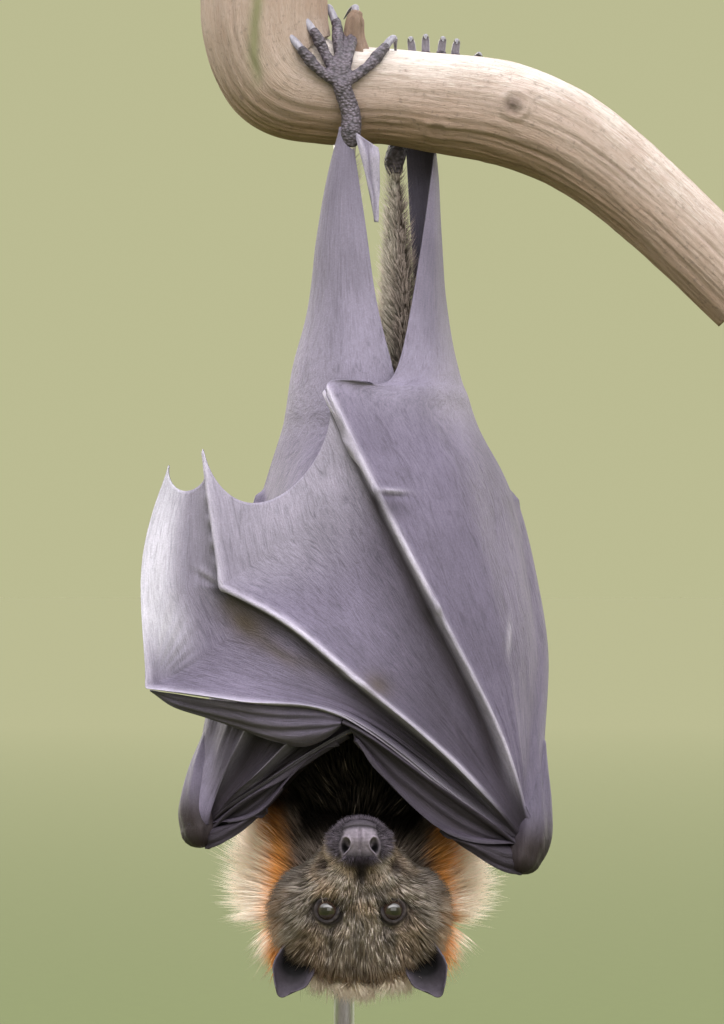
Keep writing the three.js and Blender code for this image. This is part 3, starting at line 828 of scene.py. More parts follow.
def wing_sheet(name):
    """The whole skin of a wing on one grid of welded points: the cloak, then the two panels of the hand."""
    wing = WINGS[name]
    hand_rows, trail_rows = wing["rows"]
    r_hand = np.linspace(0, 1, hand_rows + 1) ** 1.08
    r_trail = 1 + np.linspace(0, 1, trail_rows + 1)[1:]
    r = np.concatenate([r_hand, r_trail])
    columns = clustered(wing["cloak_columns"], (False, True))
    lines = [spline(wing[key], r / 2) for key in ("flank", "arm", "edge", "belly")]
    fifth_line = [wing["wrist"], *wing["digits"][5], *wing["trail"]]
    fifth = spline(fifth_line, np.where(r < 1, HAND_START + (1 - HAND_START) * r, r) / 2)
    cloak = across([*lines, fifth], columns)
    # The skin draws in to the ankle.
    drawn = wing["drawn"] * smooth(r, 1.8, 2.0)[:, None, None]
    cloak = cloak * (1 - drawn) + np.array(wing["ankle"], float) * drawn
    panels = []
    shares = []
    for (a, b), scoop_depth, count in zip(((5, 4), (4, 3)), SCOOPS, wing["panel_columns"]):
        s = clustered(count)[1:]
        scoop = scoop_depth * (4 * s * (1 - s)) ** 0.6
        t = HAND_START + (1 - HAND_START - scoop[None, :]) * r_hand[:, None]
        panel = digit_line(wing, a, t) * (1 - s[None, :, None]) + digit_line(wing, b, t) * s[None, :, None]
        panels.append(panel)
        shares.append(s)
    hand = np.concatenate(panels, axis=1)
    return cloak, hand, r, r_hand, columns, shares


def wing_mesh(name):
    wing = WINGS[name]
    cloak, hand, r, r_hand, columns, shares = wing_sheet(name)
    rows, wide = cloak.shape[:2]
    hand_wide = hand.shape[1]
    points = np.vstack([cloak.reshape(-1, 3), hand.reshape(-1, 3)])
    start = rows * wide
    index = start + np.arange(hand.shape[0] * hand_wide).reshape(hand.shape[0], hand_wide)
    joined = np.concatenate([(np.arange(hand.shape[0]) * wide + wide - 1)[:, None], index], axis=1)
    hand_quads = np.stack([joined[:-1, :-1], joined[:-1, 1:], joined[1:, 1:], joined[1:, :-1]], axis=-1).reshape(-1, 4)
    quads = np.concatenate([grid_faces(rows, wide), hand_quads])
    normals = vertex_normals(points, quads)
    if normals[index[len(index) // 2, 10]][1] > 0:
        quads = quads[:, ::-1]
        normals = -normals

    # Which panel each point is in: 0 for the cloak, 1 between digits 5 and 4, 2 between 4 and 3.
    panel = np.concatenate([np.zeros(start, int), np.tile(np.repeat([1, 2], [len(s) for s in shares]), hand.shape[0])])
    share = np.concatenate([np.tile(columns, rows), np.tile(np.concatenate(shares), hand.shape[0])])
    along = np.concatenate([np.repeat(r, wide), np.repeat(r_hand, hand_wide)])
    gap, radius, where = {}, {}, {}
    for k in (5, 4, 3):
        gap[k], radius[k], where[k] = nearest(points, digit_line(wing, k, np.linspace(0, 1, 160)), DIGIT_RADIUS)
        for knuckle in KNUCKLES[k]:
            radius[k] = radius[k] + 0.75 * hump(where[k], knuckle, 0.014)
    forearm = spline(wing["edge"], np.linspace(0, 0.375, 50))
    upper_arm = spline([wing["shoulder"], wing["arm"][2], wing["elbow"]], np.linspace(0, 1, 50))
    arm_gap, arm_radius, _ = nearest(points, forearm, FOREARM_RADIUS)
    upper_gap, upper_radius, _ = nearest(points, upper_arm, UPPER_ARM_RADIUS)
    taper = smooth(along, 0.03, 0.22)
    on_trail = smooth(along, 0.98, 1.06) * (panel == 0)

    # How the skin leaves its plain surface: it falls away below each digit and climbs to the next, and it sags.
    lift = np.zeros(len(points))
    near5 = 1 - on_trail
    lift += np.where(panel == 0, crest(gap[5], 1.7, 8.0) * near5, 0)
    lift += np.where(panel == 1, gutter(gap[5], 1.7, 2.6, 16) + crest(gap[4], 1.7, 9.0), 0)
    lift += np.where(panel == 2, gutter(gap[4], 1.7, 3.2, 12) + crest(gap[3], 1.2, 6.0), 0)
    belly_of = 4 * share * (1 - share)
    lift -= np.where(panel == 1, 3.2, np.where(panel == 2, 2.2, 0)) * belly_of
    lift *= taper

    uv = np.stack([np.where(panel == 0, gap[5] * -1, np.minimum(gap[5], 200)), along * 200], axis=1)
    uv[panel == 0, 0] = -(1 - share[panel == 0]) * 130
    uv[panel > 0, 0] = (share + panel - 1)[panel > 0] * 60
    # Slack skin gathers in folds that run with the digits, most of all near the wrist.
    flow = np.stack([uv[:, 0] * 0.16, uv[:, 1] * 0.012, uv[:, 0] * 0], axis=1)
    pleats = fractal(flow * 1.7, 3, 21)
    lift += 0.9 * pleats * np.where(panel == 2, 1.5, 0.45) * hump(along, 0.22, 0.2) * smooth(along, 0.04, 0.12)
    broad = np.stack([points[:, 0] * 0.035, points[:, 1] * 0.035, points[:, 2] * 0.02], axis=1)
    lift += 1.1 * fractal(broad, 2, 33) * taper * smooth(np.minimum(gap[5], np.minimum(gap[4], gap[3])), 3, 14)

    tone = np.tile(SKIN_TONE, (len(points), 1))
    lift, tone = wing_marks(name, points, panel, share, along, gap, where, lift, tone)

    bone = np.zeros(len(points))
    low = np.full(len(points), MEMBRANE_HALF)
    for k in (5, 4, 3):
        swell = radius[k] * smooth(where[k], 0.0, 0.12) * (1 - 0.85 * smooth(where[k], 0.92, 1.0))
        if k == 5:
            swell = swell * near5
        bone = np.maximum(bone, 1.15 * swell * np.exp(-((gap[k] / (0.62 * radius[k])) ** 2)))
    limb = arm_radius * np.clip(1 - (arm_gap / (1.9 * arm_radius)) ** 2, 0, 1) ** 2
    upper = upper_radius * np.clip(1 - (upper_gap / (1.8 * upper_radius)) ** 2, 0, 1) ** 2
    outer = MEMBRANE_HALF + bone + 0.85 * np.where(panel == 0, limb, 0) + 0.7 * np.where(panel == 0, upper, 0)
    low = MEMBRANE_HALF + 0.5 * bone + 0.8 * np.where(panel == 0, limb + upper, 0)
    skin, faces = thicken(points + normals * lift[:, None], quads, normals, outer, low)
    # The inner face of the skin is painted at half the tone, as shade.
    return skin, faces, np.vstack([tone, tone * 0.5]), np.vstack([uv, uv])


def wing_marks(name, points, panel, share, along, gap, where, lift, tone):
    """The brown marks and small folds of each wing, with painted shade below its digits and in its low parts, and
    painted highlights and glow on its crests and thin edges.
    """
    def paint(amount, colour):
        return tone * (1 - amount[:, None]) + np.asarray(colour) * amount[:, None]

    # Painted shade in the trough beside a digit, painted highlight on its crest, and a paler glow of painted light
    # through the thin skin towards the free edges.
    trough = np.where(panel == 1, hump(gap[5], 4.0, 3.0), 0) + np.where(panel == 2, hump(gap[4], 4.5, 4.0), 0)
    tone = paint(0.62 * np.clip(trough, 0, 1) * smooth(along, 0.05, 0.2), SKIN_PAINTED_SHADE)
    groove = np.where(panel == 1, hump(gap[5], 2.7, 0.9), 0) + np.where(panel == 2, hump(gap[4], 2.7, 0.9), 0)
    groove = groove * smooth(along, 0.1, 0.25)
    ridge = np.zeros(len(points))
    for k in (5, 4, 3):
        ridge = np.maximum(ridge, hump(gap[k], 0, 1.7))
    free = smooth(along, 0.66, 1.0) * (panel > 0)
    tone = paint(0.50 * free, SKIN_PAINTED_LIGHT)
    # Painted light: the cloak is paler high up, where the light from above falls on it.
    high = (panel == 0) * smooth(along, 0.85, 1.15)
    tone = paint(0.20 * high, SKIN_PAINTED_LIGHT)
    # Painted shade: towards the wrist, low down, the hand's skin is darker, and darkest beside the fifth digit.
    near = (1 - smooth(along, 0.10, 0.62)) * np.where(panel == 0, 0.0, 1.0)
    beside = (panel == 1) * (1 - smooth(along, 0.5, 0.95)) * (1 - smooth(share, 0.05, 0.55))
    tone = paint(0.62 * np.maximum(near, beside), SKIN_PAINTED_SHADE)
    # Painted shade where the skin meets the wrist.
    tone = paint(0.70 * (1 - smooth(along, 0.0, np.where(panel == 0, 0.05, 0.14))), SKIN_PAINTED_SHADE)
    # Painted highlight along each digit's crest, and a line of painted shadow in the groove beside it.
    tone = paint(0.8 * ridge * smooth(along, 0.04, 0.2), SKIN_PAINTED_LIGHT)
    tone = paint(0.72 * groove, SKIN_PAINTED_SHADE)
    if name == "left":
        # Painted shade over the left wing's lower outer part, and painted light glowing through its outer band.
        tone = paint(0.72 * (1 - smooth(points[:, 2], 150, 190)) * smooth(points[:, 0], -68, -58), SKIN_PAINTED_SHADE)
        outer = (panel == 0) * smooth(-points[:, 0], 52, 64) * smooth(points[:, 2], 128, 150)
        tone = paint(0.15 * outer, SKIN_PAINTED_LIGHT)
        return lift, tone

    # Right wing, the one in front.
    # A pale strip of painted light, glowing through the thin skin beside the third digit.
    strip = (panel == 2) * smooth(share, 0.45, 0.9) * smooth(along, 0.66, 0.78)
    tone = paint(0.75 * strip, (0.52, 0.50, 0.57))
    corner = np.array([-90.5, 0, 182.0])
    spoke = np.arctan2(points[:, 0] - corner[0], points[:, 2] - corner[2])
    reach = np.hypot(points[:, 0] - corner[0], points[:, 2] - corner[2])
    fan = np.sin(spoke * 34 + 1.5 * np.sin(reach * 0.05)) * (panel == 2)
    lift = lift + 0.55 * fan * smooth(along, 0.66, 0.7) * smooth(reach, 3, 12) * (1 - smooth(reach, 45, 80)) * hump(share, 0.8, 0.16)
    # Beads along the end of the fourth digit, their tops painted pale as highlights.
    beads = (panel == 2) * hump(gap[4], 3.6, 2.0) * smooth(where[4], 0.82, 0.86) * (1 - smooth(where[4], 0.96, 1.0))
    lift = lift + 1.3 * beads * np.sin(where[4] * 190)
    tone = paint(0.5 * beads * (0.5 + 0.5 * np.sin(where[4] * 190)), SKIN_PAINTED_LIGHT)
    for px, py, width, height, turn, amount in (
        (243, 622, 27, 15, 40, 1.0),
        (228, 603, 10, 9, 0, 0.6),
        (275, 650, 34, 7, 38, 0.55),
        (378, 684, 16, 12, 35, 0.75),
        (300, 660, 46, 6, 18, 0.4),
    ):
        tone = paint(amount * front_spot(points, px, py, width, height, turn), SKIN_BROWN)
    # Patches of painted shade: beside the digits and joints, along the cloak's edge, and over its lower and right
    # parts.
    for px, py, width, height, turn, amount in (
        (543, 630, 95, 4.5, 88, 0.75),
        (497, 470, 70, 8, 62, 0.25),
        (391, 508, 15, 11, 10, 0.5),
        (430, 618, 12, 5, 60, 0.7),
        (375, 500, 10, 4, 70, 0.8),
        (507, 640, 3, 17, 0, 0.4),
        (216, 592, 9, 5, 30, 0.7),
        (340, 560, 60, 70, 0, 0.10),
        (440, 700, 70, 30, 60, 0.35),
        (400, 760, 70, 16, 38, 0.35),
        (434, 270, 90, 26, 88, 0.34),
        (530, 590, 150, 45, 80, 0.26),
        (470, 520, 150, 45, 65, 0.14),
    ):
        tone = paint(amount * front_spot(points, px, py, width, height, turn), SKIN_PAINTED_SHADE)
    # Small creases that cross the digits' joints: a lit lip, painted pale as a highlight, with a drop below it.
    for px, py, width, turn, height in (
        (391, 493, 14, 3, 1.3),
        (507, 640, 17, 92, 0.9),
        (204, 576, 14, 32, 1.5),
        (352, 680, 12, 30, 1.2),
        (436, 612, 10, 75, 1.4),
    ):
        upper_lip = front_spot(points, px, py - 1.5, width, 2.6, turn)
        lower_lip = front_spot(points, px, py + 3.0, width, 3.4, turn)
        lift = lift + height * (upper_lip - 0.9 * lower_lip)
        tone = paint(0.6 * upper_lip, SKIN_PAINTED_LIGHT)
    return lift, tone


def flat_web(a, b, columns, bulge, folds, seed):
    """A web of folded skin between two lines, and how its folds lie."""
    rows = len(a)
    t = np.linspace(0, 1, rows)
    s = clustered(columns)
    grid = a[:, None] * (1 - s[None, :, None]) + b[:, None] * s[None, :, None]
    points = grid.reshape(-1, 3)
    quads = grid_faces(rows, columns)
    normals = vertex_normals(points, quads)
    if normals[len(normals) // 2][1] > 0:
        quads = quads[:, ::-1]
        normals = -normals
    share = np.tile(s, rows)
    along = np.repeat(t, columns)
    width = np.linalg.norm(b - a, axis=1).repeat(columns)
    wave = np.sin(2 * np.pi * folds * share + 1.6 * lattice_noise(np.stack([share * 3, along * 4, share * 0], axis=1), seed))
    lift = (bulge * 4 * share * (1 - share) + 0.05 * width * wave / max(folds, 1) * 1.6) * smooth(along, 0, 0.15)
    points = points + normals * lift[:, None]
    return points, quads, vertex_normals(points, quads), share, along, wave


def wing_web(name):
    """The narrow web between digits 3 and 2, pleated towards the wrist, with both its bones."""
    wing = WINGS[name]
    rows, columns = wing["web_grid"]
    t = np.linspace(0, 1, rows)
    third = digit_line(wing, 3, t / 3)
    second = digit_line(wing, 2, t)
    points, quads, normals, share, along, wave = flat_web(third, second, columns, -1.5, 2.5, 7)
    outer = np.full(len(points), MEMBRANE_HALF)
    for line in (third, second):
        gap, radius, where = nearest(points, line, (2.7, 2.4, 2.1))
        outer = np.maximum(outer, 1.2 * radius * smooth(where, 0, 0.1) * np.exp(-((gap / (0.62 * radius)) ** 2)))
    skin, faces = thicken(points, quads, normals, outer, 0.6 * outer)
    # The web is painted dark as shade, since it faces down, and lighter and darker across its pleats as painted light
    # and shade.
    shade = 0.5 + 0.25 * wave
    tone = SKIN_PAINTED_SHADE * (1 - 0.35 * shade[:, None]) + SKIN_TONE * 0.35 * shade[:, None]
    uv = np.stack([share * 30 + 200, along * 90], axis=1)
    return skin, faces, np.vstack([tone, tone]), np.vstack([uv, uv])


# The slack skin that hangs in shade below the right wing's third digit: its lower edge.
UNDERFOLD = [(-89, -29, 180.5), (-80, -31, 174.5), (-66, -34, 170), (-51, -38, 165), (-37, -43, 160), (-25, -49, 157.5),
             (-15, -55, 161), (-8, -59, 167)]


def wing_underfold():
    rows = 110
    top = digit_line(WINGS["right"], 3, np.linspace(0.666, 0.335, rows)) + np.array([0, 1.5, -0.5])
    bottom = spline(UNDERFOLD, np.linspace(0, 1, rows))
    points, quads, normals, share, along, wave = flat_web(top, bottom, 34, 2.0, 3.0, 13)
    half = np.full(len(points), MEMBRANE_HALF)
    skin, faces = thicken(points, quads, normals, half, half)
    # Painted shade: the skin is darkened, lighter and darker across its folds and a little lighter in its middle.
    amount = 0.68 + 0.20 * wave + 0.25 * hump(along, 0.62, 0.2) * hump(share, 0.6, 0.3)
    tone = SKIN_PAINTED_SHADE * (1 - amount[:, None]) + SKIN_TONE * amount[:, None]
    uv = np.stack([share * 30 + 300, along * 90], axis=1)
    return skin, faces, np.vstack([tone, tone]), np.vstack([uv, uv])


# The slack skin below the folded second digit, which ends at the wrist: its lower edge.
WRIST_FOLD = {
    "right": [(69, -32, 102), (62, -34.5, 104), (54.6, -37, 108), (48, -40, 113), (41, -42.5, 118), (35, -45, 122.5)],
    "left": [(-66, -22, 113), (-61, -26, 114.8), (-57, -28.5, 117), (-51, -31, 121.5), (-45, -33.5, 127), (-40, -36, 131)],
}


def wrist_fold(name):
    rows = 70
    t = np.linspace(0, 1, rows)
    top = digit_line(WINGS[name], 2, 0.02 + 0.38 * t)
    points, quads, normals, share, along, wave = flat_web(top, spline(WRIST_FOLD[name], t), 26, 2.0, 2.0, 17)
    half = MEMBRANE_HALF + 0.9 * hump(share, 1, 0.2) + 1.2 * hump(share, 0.45, 0.25) * (1 - along)
    half = half * (1 - 0.6 * smooth(along, 0.7, 1))
    skin, faces = thicken(points, quads, normals, half, half)
    # Painted shade, near black, lighter and darker across its folds.
    amount = 0.10 + 0.06 * wave
    tone = SKIN_PAINTED_SHADE * (1 - amount[:, None]) + SKIN_TONE * amount[:, None]
    uv = np.stack([share * 30 + 500, along * 90], axis=1)
    return skin, faces, np.vstack([tone, tone]), np.vstack([uv, uv])


# The rounded end of the folded arm: where its middle runs, and its radii.
WRIST_KNOB = {
    "right": [(70, -30, 110), (73.6, -28.5, 119), (75, -25, 134), (75.5, -20, 158)],
    "left": [(-69, -19, 121), (-70, -17, 131), (-67.5, -14.5, 146), (-63, -11, 164)],
}
KNOB_RADIUS = (8.0, 8.4, 7.0, 4.4)


def wrist_knob(name):
    def lumps(t_here, angle_here):
        return 0.5 * np.sin(3 * angle_here + 2 * t_here) + 0.3 * np.sin(7 * angle_here + 5 * t_here)

    points, faces = closed_tube(WRIST_KNOB[name], KNOB_RADIUS, steps=60, sides=44, dome=0.95, shape=lumps)
    # The knob is painted darker towards its lower end, as shade, over its dark brown skin.
    low = 1 - smooth(points[:, 2], WRIST_KNOB[name][1][2] - 6, WRIST_KNOB[name][2][2])
    tone = mixed(SKIN_TONE * 0.75, SKIN_PAINTED_SHADE * 1.1 + SKIN_BROWN * 0.15, low)
    return points, faces, tone, points[:, [0, 2]] + 400


# The small web that hangs from the left ankle's spur: its outer and inner edges.
SPUR_WEB = ([(-2.5, -24.5, 422), (2.5, -22.5, 403), (6.5, -20.5, 384)], [(7.7, -22, 415), (7.6, -21.5, 399), (7.0, -20.8, 383)])


def spur_web():
    t = np.linspace(0, 1, 50)
    outer, inner = (spline(edge, t) for edge in SPUR_WEB)
    points, quads, normals, share, along, wave = flat_web(outer, inner, 22, 0.6, 1.5, 19)
    half = MEMBRANE_HALF + 0.9 * hump(share, 1, 0.10)
    skin, faces = thicken(points, quads, normals, half, half)
    # The web is pale, painted lighter and darker across its folds as light and shade.
    tone = mixed(SKIN_TONE * 1.2, SKIN_PAINTED_LIGHT, 0.5 + 0.25 * wave)
    uv = np.stack([share * 30 + 600, along * 90], axis=1)
    return skin, faces, np.vstack([tone, tone]), np.vstack([uv, uv])


def wing_skin():
    nodes = Nodes("wing_skin")
    tone = nodes.attribute("tone", "Color")
    fibre = nodes.noise(nodes.uv("lie", (1500.0, 170.0, 1.0)), 1.0, 5.0, 0.62, 0.6)
    fine = nodes.noise(nodes.position(), 1500.0, 3.0, 0.6)
    cloud = nodes.noise(nodes.position((1.0, 1.0, 0.55)), 34.0, 4.0, 0.55, 0.4)
    crease = nodes.noise(nodes.uv("lie", (330.0, 60.0, 1.0)), 1.0, 4.0, 0.6, 1.6)
    colour = nodes.mix(1.0, tone, nodes.ramp(fibre, [(0.28, 0.80), (0.5, 0.98), (0.72, 1.12)]), "MULTIPLY")
    colour = nodes.mix(1.0, colour, nodes.ramp(fine, [(0.3, 0.86), (0.7, 1.1)]), "MULTIPLY")
    colour = nodes.mix(1.0, colour, nodes.ramp(cloud, [(0.3, 0.78), (0.7, 1.18)]), "MULTIPLY")
    colour = nodes.mix(1.0, colour, nodes.ramp(crease, [(0.32, 0.78), (0.46, 1.0), (0.7, 1.12)]), "MULTIPLY")
    height = nodes.maths("ADD", fibre, nodes.maths("MULTIPLY", fine, 0.5))
    height = nodes.maths("ADD", height, nodes.maths("MULTIPLY", crease, 1.6))
    rough = nodes.ramp(fibre, [(0.3, 0.50), (0.7, 0.62)])
    return nodes.finish(
        Base_Color=colour,
        Roughness=rough,
        Specular_IOR_Level=0.2,
        Normal=nodes.bump(height, 0.0006, 0.55),
    )


def make_wings():
    material = wing_skin()
    for name in ("right", "left"):
        parts = [wing_mesh(name), wing_web(name), wrist_fold(name), wrist_knob(name)]
        if name == "left":
            parts.append(spur_web())
        if name == "right":
            parts.append(wing_underfold())
        points, faces = merge([(p, f) for p, f, _, _ in parts])
        obj = make_object("wing_" + name + "_skin", points, faces)
        point_colour(obj, "tone", np.vstack([tone for _, _, tone, _ in parts]))
        point_uv(obj, "lie", np.vstack([uv for _, _, _, uv in parts]) * MM)
        place(obj, material, "wing_skin", "wing_" + name)


# ---- Body ----

# Bodies out to the tips of the coat: a centre line, half widths and half depths, and how deep the coat lies on it.
TRUNK = {
    "spine": [(2, 8, 126), (4, 6, 165), (7, 3, 212), (10, 4, 262), (13, 6, 300), (15, 7, 322)],
    "half_width": (34, 46, 47, 40, 29, 13),
    "half_depth": (28, 38, 36, 31, 25, 12),
    "coat": (8, 8, 8, 8, 7, 5),
    "cap": 5,
}
NECK = {
    "spine": [(2, 10, 152), (1, 13, 124), (0, 8, 98), (0, -8, 80), (0, -20, 75)],
    "half_width": (38, 50, 54, 45, 28),
    "half_depth": (30, 38, 38, 27, 15),
    "coat": (12, 15, 16, 14, 7),
    "cap": 4,
}
LEG_RADIUS = (17, 12, 6.5)
LEG_COAT = (7, 5, 2.6)
LEGS = {
    "right": [(20, 6, 288), (17, 1, 348), (15, 19, 411)],
    "left": [(0, 4, 290), (-9, -6, 350), (-4, -21, 422)],
}

# The head's own frame: x to the side, y from nape to nose, z from chin to crown.
HEAD_CENTRE = np.array([0, -40, 93.0])
HEAD_PITCH = math.radians(40)
HEAD_AXES = np.array(
    [
        [1, 0, 0],
        [0, -math.cos(HEAD_PITCH), math.sin(HEAD_PITCH)],
        [0, -math.sin(HEAD_PITCH), -math.cos(HEAD_PITCH)],
    ]
)
HEAD = {
    "spine": [(0, -38, 0), (0, -32, 1), (0, -20, 1), (0, -8, 0), (0, 3, -2), (0, 13, -5), (0, 23, -7), (0, 32, -7),
              (0, 38, -6)],
    "half_width": (14, 27, 37, 38.5, 34, 24, 15.5, 13.4, 7.5),
    "half_depth": (11, 21, 29, 27, 21.5, 17, 13, 11, 6.5),
    "coat": (5, 6, 6.5, 6, 4.5, 2.6, 1.1, 0.5, 0.3),
    "cap": 2,
}
EYE_RADIUS = 5.4
EYE = np.array([13.6, 5.5, 11.5])
EYE_AXIS = np.array([0.22, 0.74, 0.64])
LID_OPENING = 0.92
NOSTRIL = np.array([6.1, 35.8, -0.9])


def to_world(p):
    return np.asarray(p, float) @ HEAD_AXES + HEAD_CENTRE


def to_head(p):
    return (np.asarray(p, float) - HEAD_CENTRE) @ HEAD_AXES.T


def mirrored(p, side):
    """A place or direction on the head's right side, or its twin on the left."""
    return np.asarray(p, float) * np.array([side, 1, 1])


def loft_points(shape, t, angle, cover=1.0):
    """Points on a body at stations t and angles round it; cover 1 is the skin, 0 the tips of the coat."""
    t = np.asarray(t, float)
    centre = spline(shape["spine"], t)
    step = 1e-3
    along = unit(spline(shape["spine"], np.minimum(t + step, 1)) - spline(shape["spine"], np.maximum(t - step, 0)))
    wide = unit(np.array([1.0, 0, 0]) - along * along[..., :1])
    deep = np.cross(along, wide)
    coat = cover * blend(shape["coat"], t)
    a = (blend(shape["half_width"], t) - coat) * np.cos(angle)
    b = (blend(shape["half_depth"], t) - coat) * np.sin(angle)
    return centre + wide * a[..., None] + deep * b[..., None]


def loft_mesh(shape, rows, sides):
    """A body's skin as a closed mesh."""
    t = np.linspace(0, 1, rows)
    angle = np.linspace(0, 2 * np.pi, sides, endpoint=False)
    rings = loft_points(shape, np.repeat(t[:, None], sides, axis=1), np.repeat(angle[None], rows, axis=0))
    ends = []
    for row, sign in ((0, -1), (rows - 1, 1)):
        centre = rings[row].mean(axis=0)
        inward = spline(shape["spine"], t[1:2])[0] - spline(shape["spine"], t[:1])[0]
        if sign > 0:
            inward = spline(shape["spine"], t[-1:])[0] - spline(shape["spine"], t[-2:-1])[0]
        out = sign * unit(inward) * shape["cap"]
        ends.append([centre + (rings[row] - centre) * math.cos(a) + out * math.sin(a) for a in (0.5, 0.95, 1.3)])
    rings = np.concatenate([np.array(ends[0])[::-1], rings, np.array(ends[1])])
    points, faces = close_rings(rings)
    volume = np.einsum("ij,ij->i", points[faces[:, 0]], np.cross(points[faces[:, 1]], points[faces[:, 2]])).sum()
    return points, faces if volume > 0 else faces[:, ::-1]


def remeshed(name, parts, voxel, rounds):
    """One closed skin round several overlapping solids."""
    fused = make_object(name, *merge([(p, outward(p, f)) for p, f in parts]))
    remesh = fused.modifiers.new("fuse", "REMESH")
    remesh.mode = "VOXEL"
    remesh.voxel_size = voxel * MM
    if rounds:
        soften = fused.modifiers.new("soften", "SMOOTH")
        soften.factor = 0.5
        soften.iterations = rounds
    graph = bpy.context.evaluated_depsgraph_get()
    mesh = bpy.data.meshes.new_from_object(fused.evaluated_get(graph))
    fused.modifiers.clear()
    fused.data = mesh
    mesh.polygons.foreach_set("use_smooth", np.ones(len(mesh.polygons), bool))
    return fused


def outward(points, faces):
    """Triangles turned to face out of the closed solid that they make."""
    a, b, c = (points[faces[:, k]] for k in range(3))
    return faces if np.einsum("ij,ij->i", a, np.cross(b, c)).sum() > 0 else faces[:, ::-1]


def coordinates(obj):
    """A mesh's points, in millimetres."""
    out = np.empty(len(obj.data.vertices) * 3, np.float32)
    obj.data.vertices.foreach_get("co", out)
    return out.reshape(-1, 3).astype(float) / MM


def point_normals(obj):
    out = np.empty(len(obj.data.vertices) * 3, np.float32)
    obj.data.vertices.foreach_get("normal", out)
    return out.reshape(-1, 3).astype(float)


def set_coordinates(obj, points):
    obj.data.vertices.foreach_set("co", (np.asarray(points, np.float32) * MM).ravel())
    obj.data.update()


def refine(obj, chosen):
    """Halves the faces round the chosen points."""
    mesh = bmesh.new()
    mesh.from_mesh(obj.data)
    mesh.verts.ensure_lookup_table()
    edges = [e for e in mesh.edges if chosen[e.verts[0].index] and chosen[e.verts[1].index]]
    bmesh.ops.subdivide_edges(mesh, edges=edges, cuts=1, use_grid_fill=True)
    bmesh.ops.smooth_vert(mesh, verts=[v for v in mesh.verts if v.index < 0], factor=0.5)
    mesh.to_mesh(obj.data)
    mesh.free()


def near_face(points, eye_reach, nose_reach):
    """Which points lie near the eyes or on the front of the muzzle."""
    p = to_head(points)
    folded = np.abs(p[:, 0])
    eye = np.linalg.norm(np.stack([folded, p[:, 1], p[:, 2]], axis=1) - EYE, axis=1)
    nose = np.linalg.norm(p - np.array([0, 36, -3]), axis=1)
    return (eye < eye_reach) | (nose < nose_reach)


def nostril_gap(folded):
    """Distance from the nostril, which is a comma that curls outwards and back."""
    from_it = folded - NOSTRIL
    tail = smooth(from_it[:, 2], 0.6, 3.6)
    from_it = from_it - np.stack([1.5 * tail, 0 * tail, 1.0 * tail], axis=1)
    from_it[:, 1] *= np.where(from_it[:, 1] > 0, 0.8, 0.12)
    return np.linalg.norm(from_it * np.array([1.0, 1.0, 0.85]), axis=1) * (1 + 0.5 * tail)


def sculpt_head(points, normals):
    """Moves the skin of the face: sockets and lids, nostrils, the groove of the nose and the line of the lips."""
    p = to_head(points)
    n = normals @ HEAD_AXES.T
    move = np.zeros(len(p))
    folded = np.stack([np.abs(p[:, 0]), p[:, 1], p[:, 2]], axis=1)
    pit = nostril_gap(folded)
    front = smooth(p[:, 1], 30, 33)
    move -= 4.0 * np.exp(-((pit / 1.6) ** 4)) * front
    move += 0.45 * hump(pit, 2.45, 0.6) * front
    snout = smooth(p[:, 1], 30, 35)
    move -= 0.75 * hump(p[:, 0], 0, 0.55) * snout * smooth(p[:, 2], -7, -4)
    move += 0.35 * hump(folded[:, 0], 1.6, 0.8) * snout * smooth(p[:, 2], -7, -4)
    lip = p[:, 2] + 7.2 + 0.010 * (38 - p[:, 1]).clip(0) ** 2
    mouth = smooth(p[:, 1], 12, 18)
    move -= 0.55 * hump(lip, 0, 0.45) * mouth
    move += 0.12 * hump(lip, 1.5, 0.9) * mouth
    wing_of_nose = np.linalg.norm((folded - np.array([8.6, 33.5, -0.5])) * np.array([1, 0.6, 0.7]), axis=1)
    move += 0.5 * hump(wing_of_nose, 0, 2.2)
    # The snout under its down is slimmer than out to the tips, most of all at the chin.
    slim = smooth(p[:, 1], 24, 31)
    move -= 0.9 * smooth(folded[:, 0], 6.5, 11) * slim + 1.0 * smooth(-p[:, 2], 9, 15) * slim
    cheek = np.linalg.norm(folded - np.array([14.6, 21.8, -0.8]), axis=1)
    move -= 1.2 * hump(cheek, 0, 2.6)
    q = p + n * move[:, None]

    for side in (1, -1):
        eye = mirrored(EYE, side)
        axis = unit(mirrored(EYE_AXIS, side))
        spoke = q - eye
        reach = np.linalg.norm(spoke, axis=1)
        spoke = spoke / reach[:, None]
        turn = np.arccos(np.clip(spoke @ axis, -1, 1))
        # The opening is round, drawn out a little into a corner towards the nose.
        corner = unit(np.array([-0.62 * side, 0.78, 0.0]))
        flat = unit(spoke - axis * (spoke @ axis)[:, None])
        opening = LID_OPENING * (1 + 0.34 * np.clip(flat @ corner, 0, 1) ** 6)
        lid = EYE_RADIUS + 0.35 + 0.75 * hump(turn, opening + 0.10, 0.16)
        inside = EYE_RADIUS - 1.6
        shell = np.where(turn > opening, lid, lid + (inside - lid) * smooth(opening - turn, 0.0, 0.10))
        hold = 1 - smooth(reach, EYE_RADIUS + 2.4, EYE_RADIUS + 5.0)
        front = 1 - smooth(turn, 1.45, 1.9)
        pull = np.where(turn < opening + 0.35, 1.0, hold) * front * (reach < EYE_RADIUS + 6)
        crease = 0.5 * hump(turn, opening + 0.52, 0.09) * hold * front
        q = q + spoke * ((shell - reach) * pull - crease)[:, None]
    return to_world(q)


